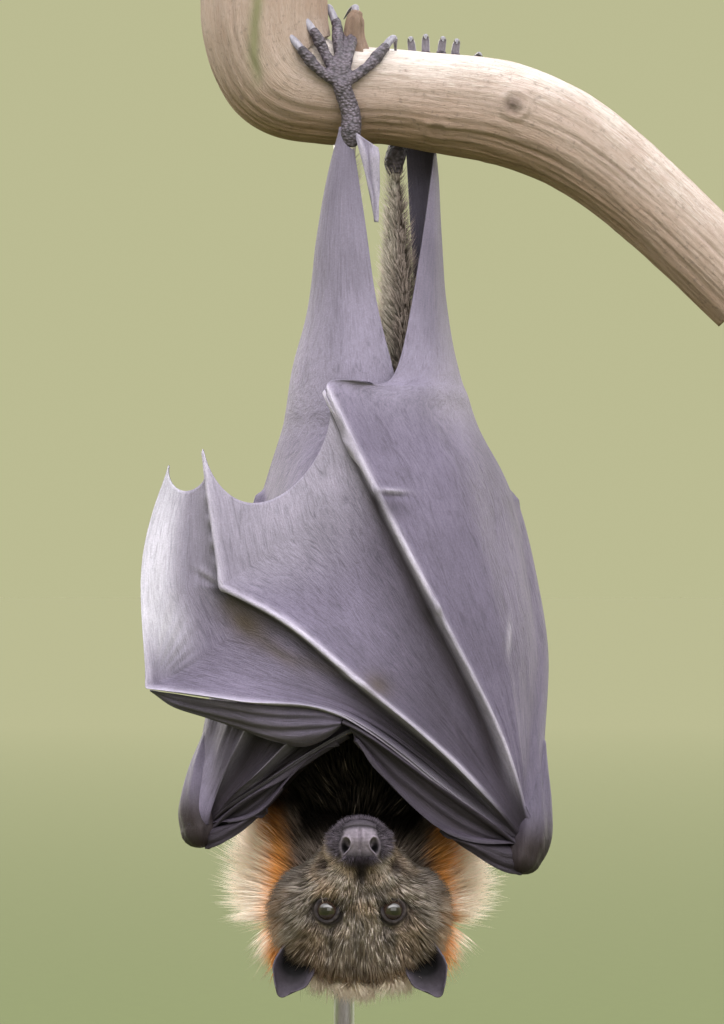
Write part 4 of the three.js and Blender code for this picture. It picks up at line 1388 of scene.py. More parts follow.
def make_skin():
    legs = [closed_tube(LEGS[k], np.subtract(LEG_RADIUS, LEG_COAT), steps=40, sides=30, dome=0.6) for k in LEGS]
    points, faces = loft_mesh(HEAD, 90, 80)
    parts = [loft_mesh(TRUNK, 60, 60), loft_mesh(NECK, 50, 60), (to_world(points), faces), *legs]
    skin = remeshed("bat_skin", parts, 1.6, 5)
    for eye_reach, nose_reach in ((14, 26), (10, 13), (7.6, 8.5)):
        refine(skin, near_face(coordinates(skin), eye_reach, nose_reach))
    points = coordinates(skin)
    set_coordinates(skin, points)
    set_coordinates(skin, sculpt_head(points, point_normals(skin)))
    return skin


# ---- Eyes and ears ----


def eye_material():
    nodes = Nodes("eye_gloss")
    turn = nodes.attribute("turn")
    iris = nodes.noise(nodes.uv("spokes", (26.0, 3.0, 1.0)), 6.0, 4.0)
    brown = nodes.ramp(iris, [(0.3, (0.010, 0.007, 0.005)), (0.7, (0.024, 0.017, 0.012))])
    ring = nodes.ramp(turn, [(0.0, 1.0), (0.30, 1.0), (0.36, 0.0)])
    rim = nodes.ramp(turn, [(0.62, 0.0), (0.72, 1.0)])
    colour = nodes.mix(ring, brown, (0.006, 0.004, 0.004))
    colour = nodes.mix(rim, colour, (0.030, 0.018, 0.014))
    return nodes.finish(
        Base_Color=colour,
        Roughness=0.3,
        Coat_Weight=1.0,
        Coat_Roughness=0.0,
        Coat_IOR=1.7,
        Specular_IOR_Level=0.0,
    )


def make_eyes():
    material = eye_material()
    rows, sides = 60, 72
    turn = np.linspace(0.02, np.pi - 0.02, rows)
    angle = np.linspace(0, 2 * np.pi, sides, endpoint=False)
    for name, side in (("right", 1), ("left", -1)):
        axis = unit(mirrored(EYE_AXIS, side))
        across = unit(np.cross(axis, [0, 0, 1.0]))
        up = np.cross(across, axis)
        # The cornea stands out a little from the ball.
        radius = EYE_RADIUS - 0.15 + 0.45 * (1 - smooth(turn, 0.35, 0.95))
        ring = np.cos(angle)[:, None] * across + np.sin(angle)[:, None] * up
        rings = axis * np.cos(turn)[:, None, None] + ring[None] * np.sin(turn)[:, None, None]
        points, faces = close_rings(mirrored(EYE, side) + rings * radius[:, None, None])
        obj = make_object("eyeball_" + name, to_world(points), outward(to_world(points) - to_world(mirrored(EYE, side)), faces))
        values = np.concatenate([np.repeat(turn, sides), [0, np.pi]])
        point_value(obj, "turn", values)
        uv = np.zeros((len(points), 2))
        uv[:-2, 0] = np.tile(angle / (2 * np.pi), rows)
        uv[:-2, 1] = np.repeat(turn, sides)
        point_uv(obj, "spokes", uv)
        place(obj, material, "eye_gloss", "eye_" + name)


EAR_BASE = np.array([25.5, -18, 16.0])
EAR_TIP = np.array([34.0, -25.5, 33.6])
EAR_HALF_WIDTH = 9.5
EAR_ROOT = -0.4
EAR_HALF_THICKNESS = 0.45


def ear_material():
    nodes = Nodes("ear_skin")
    tone = nodes.attribute("tone", "Color")
    grain = nodes.noise(nodes.position(), 500.0, 4.0)
    colour = nodes.mix(1.0, tone, nodes.ramp(grain, [(0.3, 0.78), (0.7, 1.2)]), "MULTIPLY")
    return nodes.finish(Base_Color=colour, Roughness=0.7, Specular_IOR_Level=0.12, Normal=nodes.bump(grain, 0.0004, 0.6))


def make_ears():
    material = ear_material()
    rows, columns = 70, 60
    t = np.linspace(EAR_ROOT, 1, rows)[:, None]
    s = np.linspace(-1, 1, columns)[None]
    forward = unit(np.array([-0.35, 1, 0.15]))
    along = EAR_TIP - EAR_BASE
    across = np.cross(unit(along), forward)
    width = np.interp(t, (EAR_ROOT, 0, 0.18, 0.4, 0.6, 0.78), (0.62, 0.80, 0.92, 1.0, 0.97, 0.86))
    width = width * np.sqrt(1 - 0.97 * smooth(t, 0.66, 1.12))
    cup = 6.0 * (s**2 - 0.55) * (1 - 0.55 * t) - 1.5 * t * (1 - t) * 2
    lean = -0.10 * s**2 * t + 0.03 * np.sin(9 * t + 2 * s) * s**4
    grid = (
        EAR_BASE
        + along * (t + lean)[..., None]
        + across * (s * EAR_HALF_WIDTH * width)[..., None]
        + forward * cup[..., None]
    )
    # The rolled outer rim and a few folds across the cup.
    grid = grid + forward * (1.1 * smooth(np.abs(s), 0.8, 1.0) * (1 - t))[..., None]
    grid = grid + forward * (0.28 * np.sin(16 * t + 1.5 * s) * (1 - s**2) * smooth(t, 0.1, 0.4))[..., None]
    quads = grid_faces(rows, columns)
    points = grid.reshape(-1, 3)
    normals = vertex_normals(points, quads)
    half = np.full(len(points), EAR_HALF_THICKNESS) * np.repeat(1 - 0.5 * t[:, 0], columns)
    inner_side = np.sign(normals[len(points) // 2 + columns // 2] @ forward)
    shell, faces = thicken(points, quads, normals, half, half)
    inside = np.where(np.arange(len(shell)) < len(points), 1, -1) * inner_side
    # Painted shade darkens the hollow of the cup on its inner side, and a painted highlight lightens the rolled rim and
    # the tip.
    depth = ((1 - np.abs(s) ** 2.2) * (1 - smooth(t, 0.2, 0.8))).ravel()
    dark = np.clip(np.tile(depth, 2) * (inside > 0), 0, 1)[:, None]
    edge = np.tile((smooth(np.abs(s), 0.75, 1.0) + smooth(t, 0.8, 1.0)).ravel(), 2).clip(0, 1)[:, None]
    tone = np.array([0.044, 0.037, 0.048]) * (1 + 0.5 * edge)
    tone = tone * (1 - 0.93 * np.minimum(1, 1.5 * dark))
    for name, side in (("right", 1), ("left", -1)):
        world = to_world(mirrored(shell, side))
        obj = make_object("ear_" + name + "_shell", world, outward(world - world.mean(axis=0), faces))
        point_colour(obj, "tone", tone)
        place(obj, material, "ear_skin", "ear_" + name)


# ---- Feet ----

# Each foot grips the branch: where the sole starts and ends and where the toes' joints lie, as x and z seen from the
# front, and each claw's crest and tip in the same way.
FEET = {
    "left": {
        "front": True,
        "heel": (-4, 430),
        "ball": (-8, 442),
        "toes": [((-18, 449), (-24, 456)), ((-15, 456), (-19, 464)), ((-9, 456), (-10, 469)), ((-5, 455), (-3, 467)),
                 ((3, 450), (10, 458))],
        "claws": [(-32, 464, -34, 459), (-25, 471, -28, 465), (-14, 477, -19, 472), (-2, 477, -7, 475),
                  (15, 463, 15.5, 457)],
    },
    "right": {
        "front": False,
        "heel": (19, 421),
        "ball": (30, 436),
        "toes": [((26, 446), (23, 455)), ((29, 447), (28.5, 456)), ((33, 447), (35, 456)), ((37, 446), (41, 455)),
                 ((40, 440), (47, 449))],
        "claws": [(22, 463, 22, 465), (28.5, 464, 28.5, 466), (36, 463, 36, 465), (42, 462, 42, 464), (51, 456, 53, 459)],
    },
}
SOLE_RADIUS = 5.0
TOE_RADIUS = (3.0, 2.5)
CLAW_RADIUS = 1.9
CLAW_SAG = 3.0
FOOT_TONE = np.array([0.083, 0.067, 0.084])


def on_branch(x, z, lift, front):
    """The place on the branch's near or far face behind a point seen from the front, and a lift away from it."""
    t = np.linspace(0, 1, 200)
    centre = spline(BRANCH_CENTRES, t)
    radius = blend(BRANCH_RADII, t) + lift
    reach = math.sqrt(max(0.0, float(np.max(radius**2 - (x - centre[:, 0]) ** 2 - (z - centre[:, 2]) ** 2))))
    return np.array([x, BRANCH_Y - reach if front else BRANCH_Y + reach, z])


def foot_skin_material():
    nodes = Nodes("foot_skin")
    scales = nodes.voronoi(nodes.position((1.0, 1.0, 1.3)), 620.0)
    fine = nodes.noise(nodes.position(), 1300.0, 4.0)
    patch = nodes.noise(nodes.position(), 130.0, 3.0)
    colour = nodes.ramp(scales, [(0.0, tuple(FOOT_TONE * 1.5)), (0.45, tuple(FOOT_TONE)), (0.8, tuple(FOOT_TONE * 0.42))])
    colour = nodes.mix(1.0, colour, nodes.ramp(patch, [(0.35, 0.62), (0.65, 1.25)]), "MULTIPLY")
    height = nodes.maths("SUBTRACT", nodes.maths("MULTIPLY", fine, 0.35), scales)
    return nodes.finish(Base_Color=colour, Roughness=0.52, Specular_IOR_Level=0.4, Normal=nodes.bump(height, 0.0011, 0.8))


def horn_material():
    nodes = Nodes("claw_horn")
    grain = nodes.noise(nodes.position((1.0, 1.0, 0.3)), 900.0, 4.0)
    tip = nodes.attribute("tip")
    colour = nodes.ramp(tip, [(0.0, (0.20, 0.185, 0.225)), (0.5, (0.15, 0.138, 0.17)), (0.85, (0.07, 0.062, 0.075)), (1.0, (0.03, 0.026, 0.03))])
    colour = nodes.mix(1.0, colour, nodes.ramp(grain, [(0.3, 0.7), (0.7, 1.3)]), "MULTIPLY")
    return nodes.finish(Base_Color=colour, Roughness=0.3, Specular_IOR_Level=0.55, Normal=nodes.bump(grain, 0.0002, 0.4))


def scutes(count, depth, swell=0.0):
    """Rings of scales round a toe, and a swelling at its joint."""
    def shape(t_here, angle_here):
        ring = depth * np.abs(np.sin(np.pi * count * t_here + 0.25 * np.sin(angle_here))) + 0 * angle_here
        return ring + swell * (hump(t_here, 0.5, 0.10) + hump(t_here, 0.93, 0.08)) - depth * 0.5
    return shape


def make_claw(name, line, radii, material, slot_name="claw_horn"):
    rings = tube_mesh(line, radii, steps=36, sides=20, dome=0.5, squash=0.72)
    points, faces = close_rings(rings)
    obj = make_object(name + "_horn", points, outward(points - points.mean(axis=0), faces))
    share = np.linspace(0, 1, len(rings)).repeat(rings.shape[1])
    point_value(obj, "tip", np.concatenate([share, [0, 1]]))
    place(obj, material, slot_name, name)


def make_feet():
    skin, horn = foot_skin_material(), horn_material()
    for name, foot in FEET.items():
        front = foot["front"]
        ankle = np.array(LEGS[name][-1], float)
        before = np.array(LEGS[name][-2], float)
        start = ankle + unit(before - ankle) * 5
        heel = on_branch(*foot["heel"], SOLE_RADIUS - 1.0, front)
        ball = on_branch(*foot["ball"], TOE_RADIUS[0], front)
        solids = [closed_tube([start, ankle, heel, ball], (3.6, 4.4, 4.2, 3.9), steps=50, sides=28, shape=scutes(11, 0.25))]
        over = 1 if front else -1
        for i, (joints, claw) in enumerate(zip(foot["toes"], foot["claws"])):
            line = [ball] + [on_branch(x, z, TOE_RADIUS[1], front) for x, z in joints]
            last = np.array(line[-1])
            crest = np.array([claw[0], last[1] + over * 3, claw[1]])
            tip = np.array([claw[2], last[1] + over * (3 + 2 * CLAW_SAG), claw[3] - CLAW_SAG])
            pad = last + unit(crest - last) * 2.2
            solids.append(closed_tube([*line, pad], (2.6, 2.2, 2.15, 1.75), steps=46, sides=22, shape=scutes(9, 0.28, 0.5)))
            root = last + unit(crest - last) * 1.2
            middle = (root + crest) / 2 + np.array([0, 0, 0.8])
            turn = crest + (tip - crest) * 0.45 + np.array([0, 0, 1.2])
            make_claw("claw_%s_%d" % (name, i + 1), [root, middle, crest, turn, tip], (1.8, 1.75, 1.5, 1.0, 0.3), horn)
        place(remeshed("foot_" + name + "_skin", solids, 0.55, 3), skin, "foot_skin", "foot_" + name)
    for name, side in (("right", 1), ("left", -1)):
        line = [np.array(p, float) for p in WINGS[name]["thumb"]]
        solids = [closed_tube(line, (3.5, 2.8, 3.0, 2.4), steps=60, sides=26, dome=0.8, shape=scutes(10, 0.25, 0.3))]
        place(remeshed("thumb_" + name + "_skin", solids, 0.7, 2), skin, "foot_skin", "thumb_" + name)
        way = unit(line[2] - line[1])
        root = line[2] + way * 1.2
        bend = root + way * 4.4 + np.array([-side * 2, 0, 0.6])
        point = bend + np.array([-side * 4, 1, -3.5])
        make_claw("thumb_claw_" + name, [root, (root + bend) / 2, bend, point], (2.0, 1.9, 1.5, 0.35), horn)


# ---- Coat ----

GREY_DARK = np.array([0.050, 0.040, 0.034])
GREY_MID = np.array([0.44, 0.345, 0.30])
GREY_PALE = np.array([0.92, 0.80, 0.74])
# Near black: dark fur, and painted shade where the wings cover the chest and jaw.
BLACK_FUR_AND_SHADE = np.array([0.0045, 0.0035, 0.003])
RUSSET = np.array([0.95, 0.43, 0.125])
RUSSET_DARK = np.array([0.26, 0.085, 0.022])
CREAM = np.array([1.0, 0.87, 0.76])
CREAM_GREY = np.array([0.62, 0.57, 0.47])
SNOUT = np.array([0.098, 0.082, 0.102])
LID = np.array([0.016, 0.012, 0.015])


def face_marks(p):
    """How strongly each marking of the face shows at places in the head's frame."""
    folded = np.stack([np.abs(p[:, 0]), p[:, 1], p[:, 2]], axis=1)

    def spot(x, y, z, size):
        return np.exp(-((np.linalg.norm(folded - np.array([x, y, z]), axis=1) / size) ** 2))

    lids = np.exp(-((np.linalg.norm(folded - EYE, axis=1) / 7.4) ** 6))
    corner = spot(9.6, 11.0, 11.5, 3.0) + 0.8 * spot(8.0, 14.5, 9.5, 2.4)
    below = 0.8 * spot(9.2, -1.2, 17.5, 1.8) + 0.7 * spot(11.5, -3.6, 18.5, 1.8)
    # The wedge down the bridge of the nose and the spot in the dent beside the muzzle are painted shade.
    taper = 5.0 * smooth(p[:, 1], 18, 31) + 0.8
    wedge = hump(p[:, 0], 0, taper) * smooth(p[:, 1], 18, 22) * (1 - smooth(p[:, 1], 33.5, 35.5)) * smooth(p[:, 2], 0, 3)
    beside = np.clip(1.3 * spot(14.6, 21.8, -0.8, 3.2), 0, 1)
    streak = spot(12.0, 21.0, 3.2, 3.0) + 0.8 * spot(9.5, 24.5, 3.2, 2.4)
    snout = smooth(p[:, 1], 25.0, 31.0)
    stripe = hump(p[:, 0], 0, 5.0) * smooth(p[:, 1], -6, 4) * (1 - smooth(p[:, 1], 7, 14))
    brow = hump(p[:, 0], 0, 20) * (1 - smooth(p[:, 1], 8, 14)) * smooth(p[:, 2], 4, 12)
    cheek = smooth(folded[:, 0], 13, 19) * smooth(p[:, 1], 4, 10) * (1 - smooth(p[:, 1], 18, 25))
    crown = hump(p[:, 0], 0, 22) * (1 - smooth(p[:, 1], -19, -8)) * smooth(p[:, 2], 8, 18)
    fringe = (1 - smooth(p[:, 1], -31, -27)) * smooth(p[:, 2], -12, -4)
    return {
        "dark": np.clip(lids + corner + below + wedge + beside, 0, 1),
        "snout": snout,
        "pale": np.clip(0.5 * stripe + 0.10 * cheek + 0.75 * brow, 0, 1),
        "crown": crown,
        "fringe": fringe,
        "streak": np.clip(streak, 0, 1),
    }


def throat(points):
    """How far places on the neck take the near black of the throat and chest: dark fur, with painted shade between the
    wings.
    """
    inner = 1 - smooth(np.abs(points[:, 0]), 24, 32)
    high = smooth(points[:, 2], 112, 122) * inner
    return smooth(-points[:, 1], -10, 2) * np.maximum(high, smooth(points[:, 2], 124, 134))


def mantle_colours(points, chance):
    """The fur round the neck: near black at the throat, dark fur with painted shade, grey-brown beside the jaw, russet,
    then cream out at its tips, painted as light shining through them.
    """
    n = len(points)
    out = np.hypot(points[:, 0], 0.55 * (points[:, 1] - 8))
    out = out + 2.0 * lattice_noise(points * 0.16, 91)
    tone = mixed(RUSSET * 0.8, RUSSET * 1.1, chance)
    deep = np.maximum(1 - smooth(out, 29, 39), 0.95 * smooth(points[:, 2], 106, 122) * (1 - smooth(out, 38, 47)))
    tone = mixed(tone, RUSSET_DARK, 0.75 * deep)
    # Painted light: the outer tips are cream, as the russet fur looks with light shining through it.
    tone = mixed(tone, mixed(CREAM * 0.85, CREAM * 1.04, chance), smooth(out, 41.0, 44.5))
    nape = smooth(points[:, 1], 14, 34)
    tone = mixed(tone, mixed(RUSSET * 0.75, CREAM_GREY, 0.5 * chance), 0.6 * nape)
    jaw = smooth(-points[:, 1], -14, 0) * (1 - smooth(out, 30, 37))
    tone = mixed(tone, mixed(GREY_DARK * 0.8, GREY_MID * 0.6, chance), jaw)
    return mixed(tone, np.tile(BLACK_FUR_AND_SHADE, (n, 1)) * (1 + 1.5 * chance[:, None]), throat(points))


def coat_colours(part, points, chance):
    """Root, middle and tip colours of the coat at places on the skin; chance is a number from 0 to 1 for each."""
    patch = 0.5 + 0.5 * fractal(points * 0.11, 3, 51)
    if part == "head":
        p = to_head(points)
        marks = face_marks(p)
        tip = mixed(GREY_DARK * 1.5, GREY_MID, smooth(chance, 0.12, 0.5))
        tip = mixed(tip, GREY_PALE, smooth(chance, 0.46, 0.92))
        tip = mixed(tip, tip * np.array([1.12, 0.93, 0.72]), 0.6 * smooth(patch, 0.45, 0.75))
        tip = mixed(tip, GREY_PALE * (0.5 + 0.5 * chance[:, None]), marks["pale"] * 0.5)
        tip = mixed(tip, RUSSET * np.array([0.55, 0.80, 1.1]) * (0.2 + 0.7 * chance[:, None]), 0.6 * marks["crown"])
        sides = smooth(np.abs(p[:, 0]), 26, 33) * (1 - smooth(p[:, 1], 2, 14))
        tip = mixed(tip, mixed(RUSSET, CREAM, 0.6 * chance), 0.6 * sides)
        # Painted shadow of the wings: darker towards the sides of the face, and near black on the jaw and chin side.
        tip = tip * (1 - 0.34 * smooth(np.abs(p[:, 0]), 13, 22))[:, None]
        jowl = 0.5 * (np.abs(p[:, 0]) - 15).clip(0, 14)
        wing_shadow = 1 - smooth(p[:, 2], -14 + jowl, 3 + jowl)
        tip = mixed(tip, BLACK_FUR_AND_SHADE * 2.5, 0.8 * wing_shadow * (1 - marks["snout"]))
        mottle = smooth(fractal(p * 0.23, 3, 53), 0.08, 0.42)
        tip = mixed(tip, GREY_DARK * (0.7 + 0.8 * chance[:, None]), 0.5 * mottle)
        chin = (1 - 0.40 * smooth(-p[:, 2], 3, 8))[:, None]
        tip = mixed(tip, SNOUT * chin * (0.35 + 2.6 * chance[:, None] ** 2), marks["snout"])
        tip = mixed(tip, GREY_PALE * 0.85, 0.75 * marks["streak"] * smooth(chance, 0.1, 0.5))
        tip = mixed(tip, LID * (1 + 0.8 * chance[:, None]), 0.95 * marks["dark"])
        tip = mixed(tip, mixed(CREAM * 0.8, CREAM * 1.05, chance), marks["fringe"])
        soft = np.maximum(marks["snout"], 1.2 * marks["fringe"])
        middle = tip * (0.74 + 0.22 * soft + 0.10 * chance)[:, None]
        root = mixed(GREY_DARK * 0.5, tip * (0.5 + 0.45 * marks["fringe"][:, None]), 0.45 + 0.5 * soft)
        return root, middle, tip
    if part == "neck":
        tip = mantle_colours(points, chance)
        return tip, tip, tip
    if part == "trunk":
        back = smooth(points[:, 1], 6, 24)
        frost = smooth(chance, 0.84, 0.98)
        # The front is near black: dark fur, with painted shade between the wings.
        tip = mixed(BLACK_FUR_AND_SHADE * 1.6, GREY_DARK * 0.9, chance)
        tip = mixed(tip, mixed(GREY_MID * 0.5, GREY_PALE * 0.6, chance), back * (0.15 + 0.5 * smooth(chance, 0.5, 0.9)))
        tip = mixed(tip, GREY_MID, (1 - back) * 0.5 * frost)
        low = smooth(points[:, 2], 255, 300)
        tip = mixed(tip, CREAM_GREY * (0.4 + 0.6 * chance[:, None]), 0.55 * low)
        shoulder = 1 - smooth(points[:, 2], 140, 168)
        tip = mixed(tip, RUSSET * 0.7, 0.55 * shoulder * back)
        return tip * 0.4, tip * 0.7, tip
    # The legs are cream on the inner side that the wings leave open; beyond it they are dark fur, painted darker still
    # as shade beside the right wing.
    dark = smooth(points[:, 0], 13.5, 17.5)
    tip = mixed(CREAM_GREY * 0.7, CREAM * 0.85, smooth(chance, 0.35, 0.95))
    tip = mixed(tip, mixed(GREY_DARK * 1.2, GREY_MID * 0.8, chance), 0.88 * dark)
    return tip * 0.45, tip * 0.8, tip


def lie_of(part, points, normals):
    """Which way the hair lies on the skin."""
    if part == "head":
        p = to_head(points)
        flow = p - np.array([0, 46, 2.0])
        flow[:, 0] *= 1.25
        flow = unit(flow @ HEAD_AXES)
        hang = face_marks(p)["fringe"][:, None]
        flow = flow * (1 - hang) + (np.array([0, 0, -1.0]) + points * np.array([0.012, 0, 0])) * hang
    elif part == "neck":
        flow = np.stack([points[:, 0] * 0.02, points[:, 1] * 0.01, np.full(len(points), 0.35)], axis=1)
        flow[:, 2] += 0.018 * (points[:, 2] - 104)
        low = points[:, 2] < 84
        flow[low] = np.array([0.0, -0.15, -1.0]) + points[low] * np.array([0.012, 0, 0])
    elif part == "trunk":
        flow = np.stack([points[:, 0] * 0.002, np.zeros(len(points)), np.ones(len(points))], axis=1)
    else:
        flow = np.tile([0.0, 0, 1.0], (len(points), 1))
        flow[:, 0] = -0.5 * np.sign(points[:, 0] - 9)
    wave = np.stack([fractal(points * 0.09, 2, seed) for seed in (61, 63, 65)], axis=1)
    fine = np.stack([fractal(points * 0.27, 2, seed) for seed in (67, 68, 69)], axis=1)
    flow = unit(flow) + 0.30 * wave + {"head": 0.50, "neck": 0.36}.get(part, 0.15) * fine
    flow -= normals * np.einsum("ij,ij->i", flow, normals)[:, None]
    return unit(flow)


def shape_of(part, points, chance):
    """Length, width, and the angles at which a tuft leaves the skin and ends."""
    n = len(points)
    if part == "head":
        p = to_head(points)
        marks = face_marks(p)
        length = np.interp(p[:, 1], (-38, -20, -5, 5, 14, 22, 28, 34, 38), (14, 13, 11, 9.0, 7.0, 4.8, 3.6, 2.8, 2.2))
        near_eye = np.exp(-((np.linalg.norm(np.abs(p) - EYE, axis=1) / 8.2) ** 4))
        length *= (1 - 0.80 * near_eye) * (0.62 + 0.55 * chance) * (1 + 0.35 * marks["snout"])
        length += 7.5 * marks["fringe"] * chance
        width = np.interp(p[:, 1], (-30, 0, 14, 24, 34), (0.52, 0.46, 0.38, 0.26, 0.18))
        side = smooth(np.abs(p[:, 0]), 16, 30)
        rise = 0.55 + 0.45 * side + 0.45 * marks["snout"]
        fall = 0.16 + 0.50 * side + 0.65 * marks["snout"]
        return length, width, rise, fall
    if part == "neck":
        side = smooth(np.abs(points[:, 0]), 12, 30)
        front = throat(points)
        length = (15 + 19 * chance**3) * (0.75 + 0.28 * side) * (1 - 0.5 * front)
        width = 0.74 - 0.24 * chance
        rise = 0.85 + 0.25 * side - 0.35 * front
        return length, width, rise, rise - 0.55 + 0.35 * side * (1 - front)
    if part == "trunk":
        length = 11 + 5 * chance
        return length, 0.75 + 0.25 * chance, np.full(n, 0.75), np.full(n, 0.15)
    length = (6 + 7 * chance**2) * np.interp(points[:, 2], (290, 345, 400), (1.15, 1.0, 0.8))
    return length, 0.55 - 0.2 * chance, np.full(n, 0.8), np.full(n, 0.3)


def scatter(shape, count, world=None):
    """Places spread evenly over a body's skin, as stations and angles."""
    cells = 120
    edge = np.linspace(0, 1, cells + 1)
    round_edge = np.linspace(0, 2 * np.pi, cells + 1)
    corner = loft_points(shape, np.repeat(edge[:, None], cells + 1, axis=1), np.repeat(round_edge[None], cells + 1, axis=0))
    area = np.linalg.norm(np.cross(corner[1:, :-1] - corner[:-1, :-1], corner[:-1, 1:] - corner[:-1, :-1]), axis=-1).ravel()
    cell = rng.choice(len(area), size=count, p=area / area.sum())
    t = (cell // cells + rng.random(count)) / cells
    angle = 2 * np.pi * (cell % cells + rng.random(count)) / cells
    return t, angle


def skin_roots(tree, points, reach):
    """The nearest places on the skin, their normals, and which of the points are near enough to it."""
    where = np.zeros_like(points)
    normal = np.zeros_like(points)
    good = np.zeros(len(points), bool)
    for i, p in enumerate(points):
        spot, n, _, gap = tree.find_nearest(Vector(p * MM))
        where[i] = spot
        normal[i] = n
        good[i] = gap / MM < reach
    return where / MM, normal, good


def tuft_mesh(root, normal, lie, length, width, rise, fall, tint, uv, stations):
    """Solid spikes, three-sided, that bend from one angle to another as they leave the skin."""
    n = len(root)
    side = np.cross(normal, lie)
    rings, tones = [], []
    place_now = root - normal * 0.5
    twist = (rng.random(n) - 0.5) * 1.6
    thin = np.interp(np.linspace(0, 1, stations + 1), (0, 0.35, 1), (1.0, 0.85, 0.0))
    for k in range(stations):
        share = k / stations
        a = rise + (fall - rise) * share
        way = lie * np.cos(a)[:, None] + normal * np.sin(a)[:, None]
        out = np.cross(way, side)
        half = width * thin[k] * 0.5
        for m in range(3):
            spin = twist + 2 * np.pi * m / 3
            offset = side * (np.cos(spin) * half)[:, None] + out * (np.sin(spin) * half * 0.7)[:, None]
            rings.append(place_now + offset)
        tones.append(tint(place_now, share))
        place_now = place_now + way * (length / stations)[:, None]
    rings.append(place_now)
    tones.append(tint(place_now, 1.0))
    points = np.stack(rings, axis=1).reshape(-1, 3)
    per = 3 * stations + 1
    tone = np.stack([tones[k // 3] for k in range(3 * stations)] + [tones[-1]], axis=1).reshape(-1, 3)
    faces = [(0, 2, 1)]
    for k in range(stations - 1):
        for m in range(3):
            a, b = 3 * k + m, 3 * k + (m + 1) % 3
            faces += [(a, b, b + 3), (a, b + 3, a + 3)]
    last = 3 * (stations - 1)
    faces += [(last + m, last + (m + 1) % 3, per - 1) for m in range(3)]
    all_faces = (np.array(faces)[None] + (np.arange(n) * per)[:, None, None]).reshape(-1, 3)
    small = np.zeros((per, 2))
    small[:-1, 0] = 0.0011 * np.cos(2 * np.pi * np.arange(per - 1) / 3)
    small[:-1, 1] = 0.0015 * (np.arange(per - 1) // 3 / max(stations, 1) * 2 - 1)
    small[-1] = (0, 0.0015)
    all_uv = (uv[:, None] + small[None]).reshape(-1, 2)
    return points, all_faces, tone, all_uv


def tuft_tint(part, root, chance):
    """The colour of tufts at a share of their length; in the mantle it depends on where each piece has got to."""
    first, middle, tip = coat_colours(part, root, chance)

    def tint(points, share):
        if part == "neck":
            return mantle_colours(points, chance) * (0.55 + 0.45 * min(1.0, 1.6 * share) + 0.2 * (chance[:, None] - 0.5))
        return first + (middle - first) * share * 2 if share < 0.5 else middle + (tip - middle) * (share * 2 - 1)

    return tint


# For each part of the coat: how many tufts, how far its skin may lie from the plain body, and rings to a tuft.
COATS = {
    "head": (62000, 4.0, 2),
    "neck": (60000, 2.5, 3),
    "trunk": (26000, 2.5, 2),
    "legs": (15000, 5.0, 2),
}
MOST_TRIANGLES = 190000


def keep_share(part, points):
    """How thickly each place is covered: thin where the wings hide the coat, none inside the lids and nostrils."""
    if part == "head":
        p = to_head(points)
        folded = np.stack([np.abs(p[:, 0]), p[:, 1], p[:, 2]], axis=1)
        eye = np.linalg.norm(folded - EYE, axis=1) > 6.9
        pad = (np.abs(p[:, 0]) < 7.4) & (p[:, 1] > 32.0) & (p[:, 2] > -4.5) & (p[:, 2] < 2.5)
        pad |= (nostril_gap(folded) < 2.6) & (p[:, 1] > 26)
        front = np.maximum(smooth(p[:, 1], -18, 2), face_marks(p)["fringe"])
        return eye * ~pad * (0.45 + 0.55 * front)
    if part == "neck":
        return 0.42 + 0.58 * smooth(np.abs(points[:, 0]), 18, 34) * (1 - smooth(points[:, 1], 18, 34))
    if part == "legs":
        # The left leg's coat is pressed flat where the wing's skin wraps it.
        centre = spline(LEGS["left"], np.clip((points[:, 2] - 290) / 132, 0, 1))
        pressed = (points[:, 0] < 7) & (points[:, 0] < centre[:, 0] + 3) & (points[:, 2] > 350)
        return 1.0 - pressed
    if part == "trunk":
        hidden = (1 - smooth(points[:, 1], 2, 14)) * smooth(points[:, 2], 185, 200)
        return 1 - 0.75 * hidden
    return np.ones(len(points))


def part_roots(part, count):
    if part == "legs":
        chosen = rng.random(count)
        line_t = np.sqrt(rng.random(count)) * 0.98
        line_t = 1 - line_t
        points = np.zeros((count, 3))
        angle = rng.random(count) * 2 * np.pi
        for k, key in enumerate(LEGS):
            centre = spline(LEGS[key], line_t)
            radius = blend(np.subtract(LEG_RADIUS, LEG_COAT), line_t)
            ring = np.stack([np.cos(angle) * radius, np.sin(angle) * radius, 0 * radius], axis=1)
            here = (chosen > 0.5) == bool(k)
            points[here] = (centre + ring)[here]
        return points, line_t * 0.5 + (chosen > 0.5) * 0.5, angle
    shape = {"head": HEAD, "neck": NECK, "trunk": TRUNK}[part]
    t, angle = scatter(shape, count)
    points = loft_points(shape, t, angle)
    return (to_world(points) if part == "head" else points), t, angle


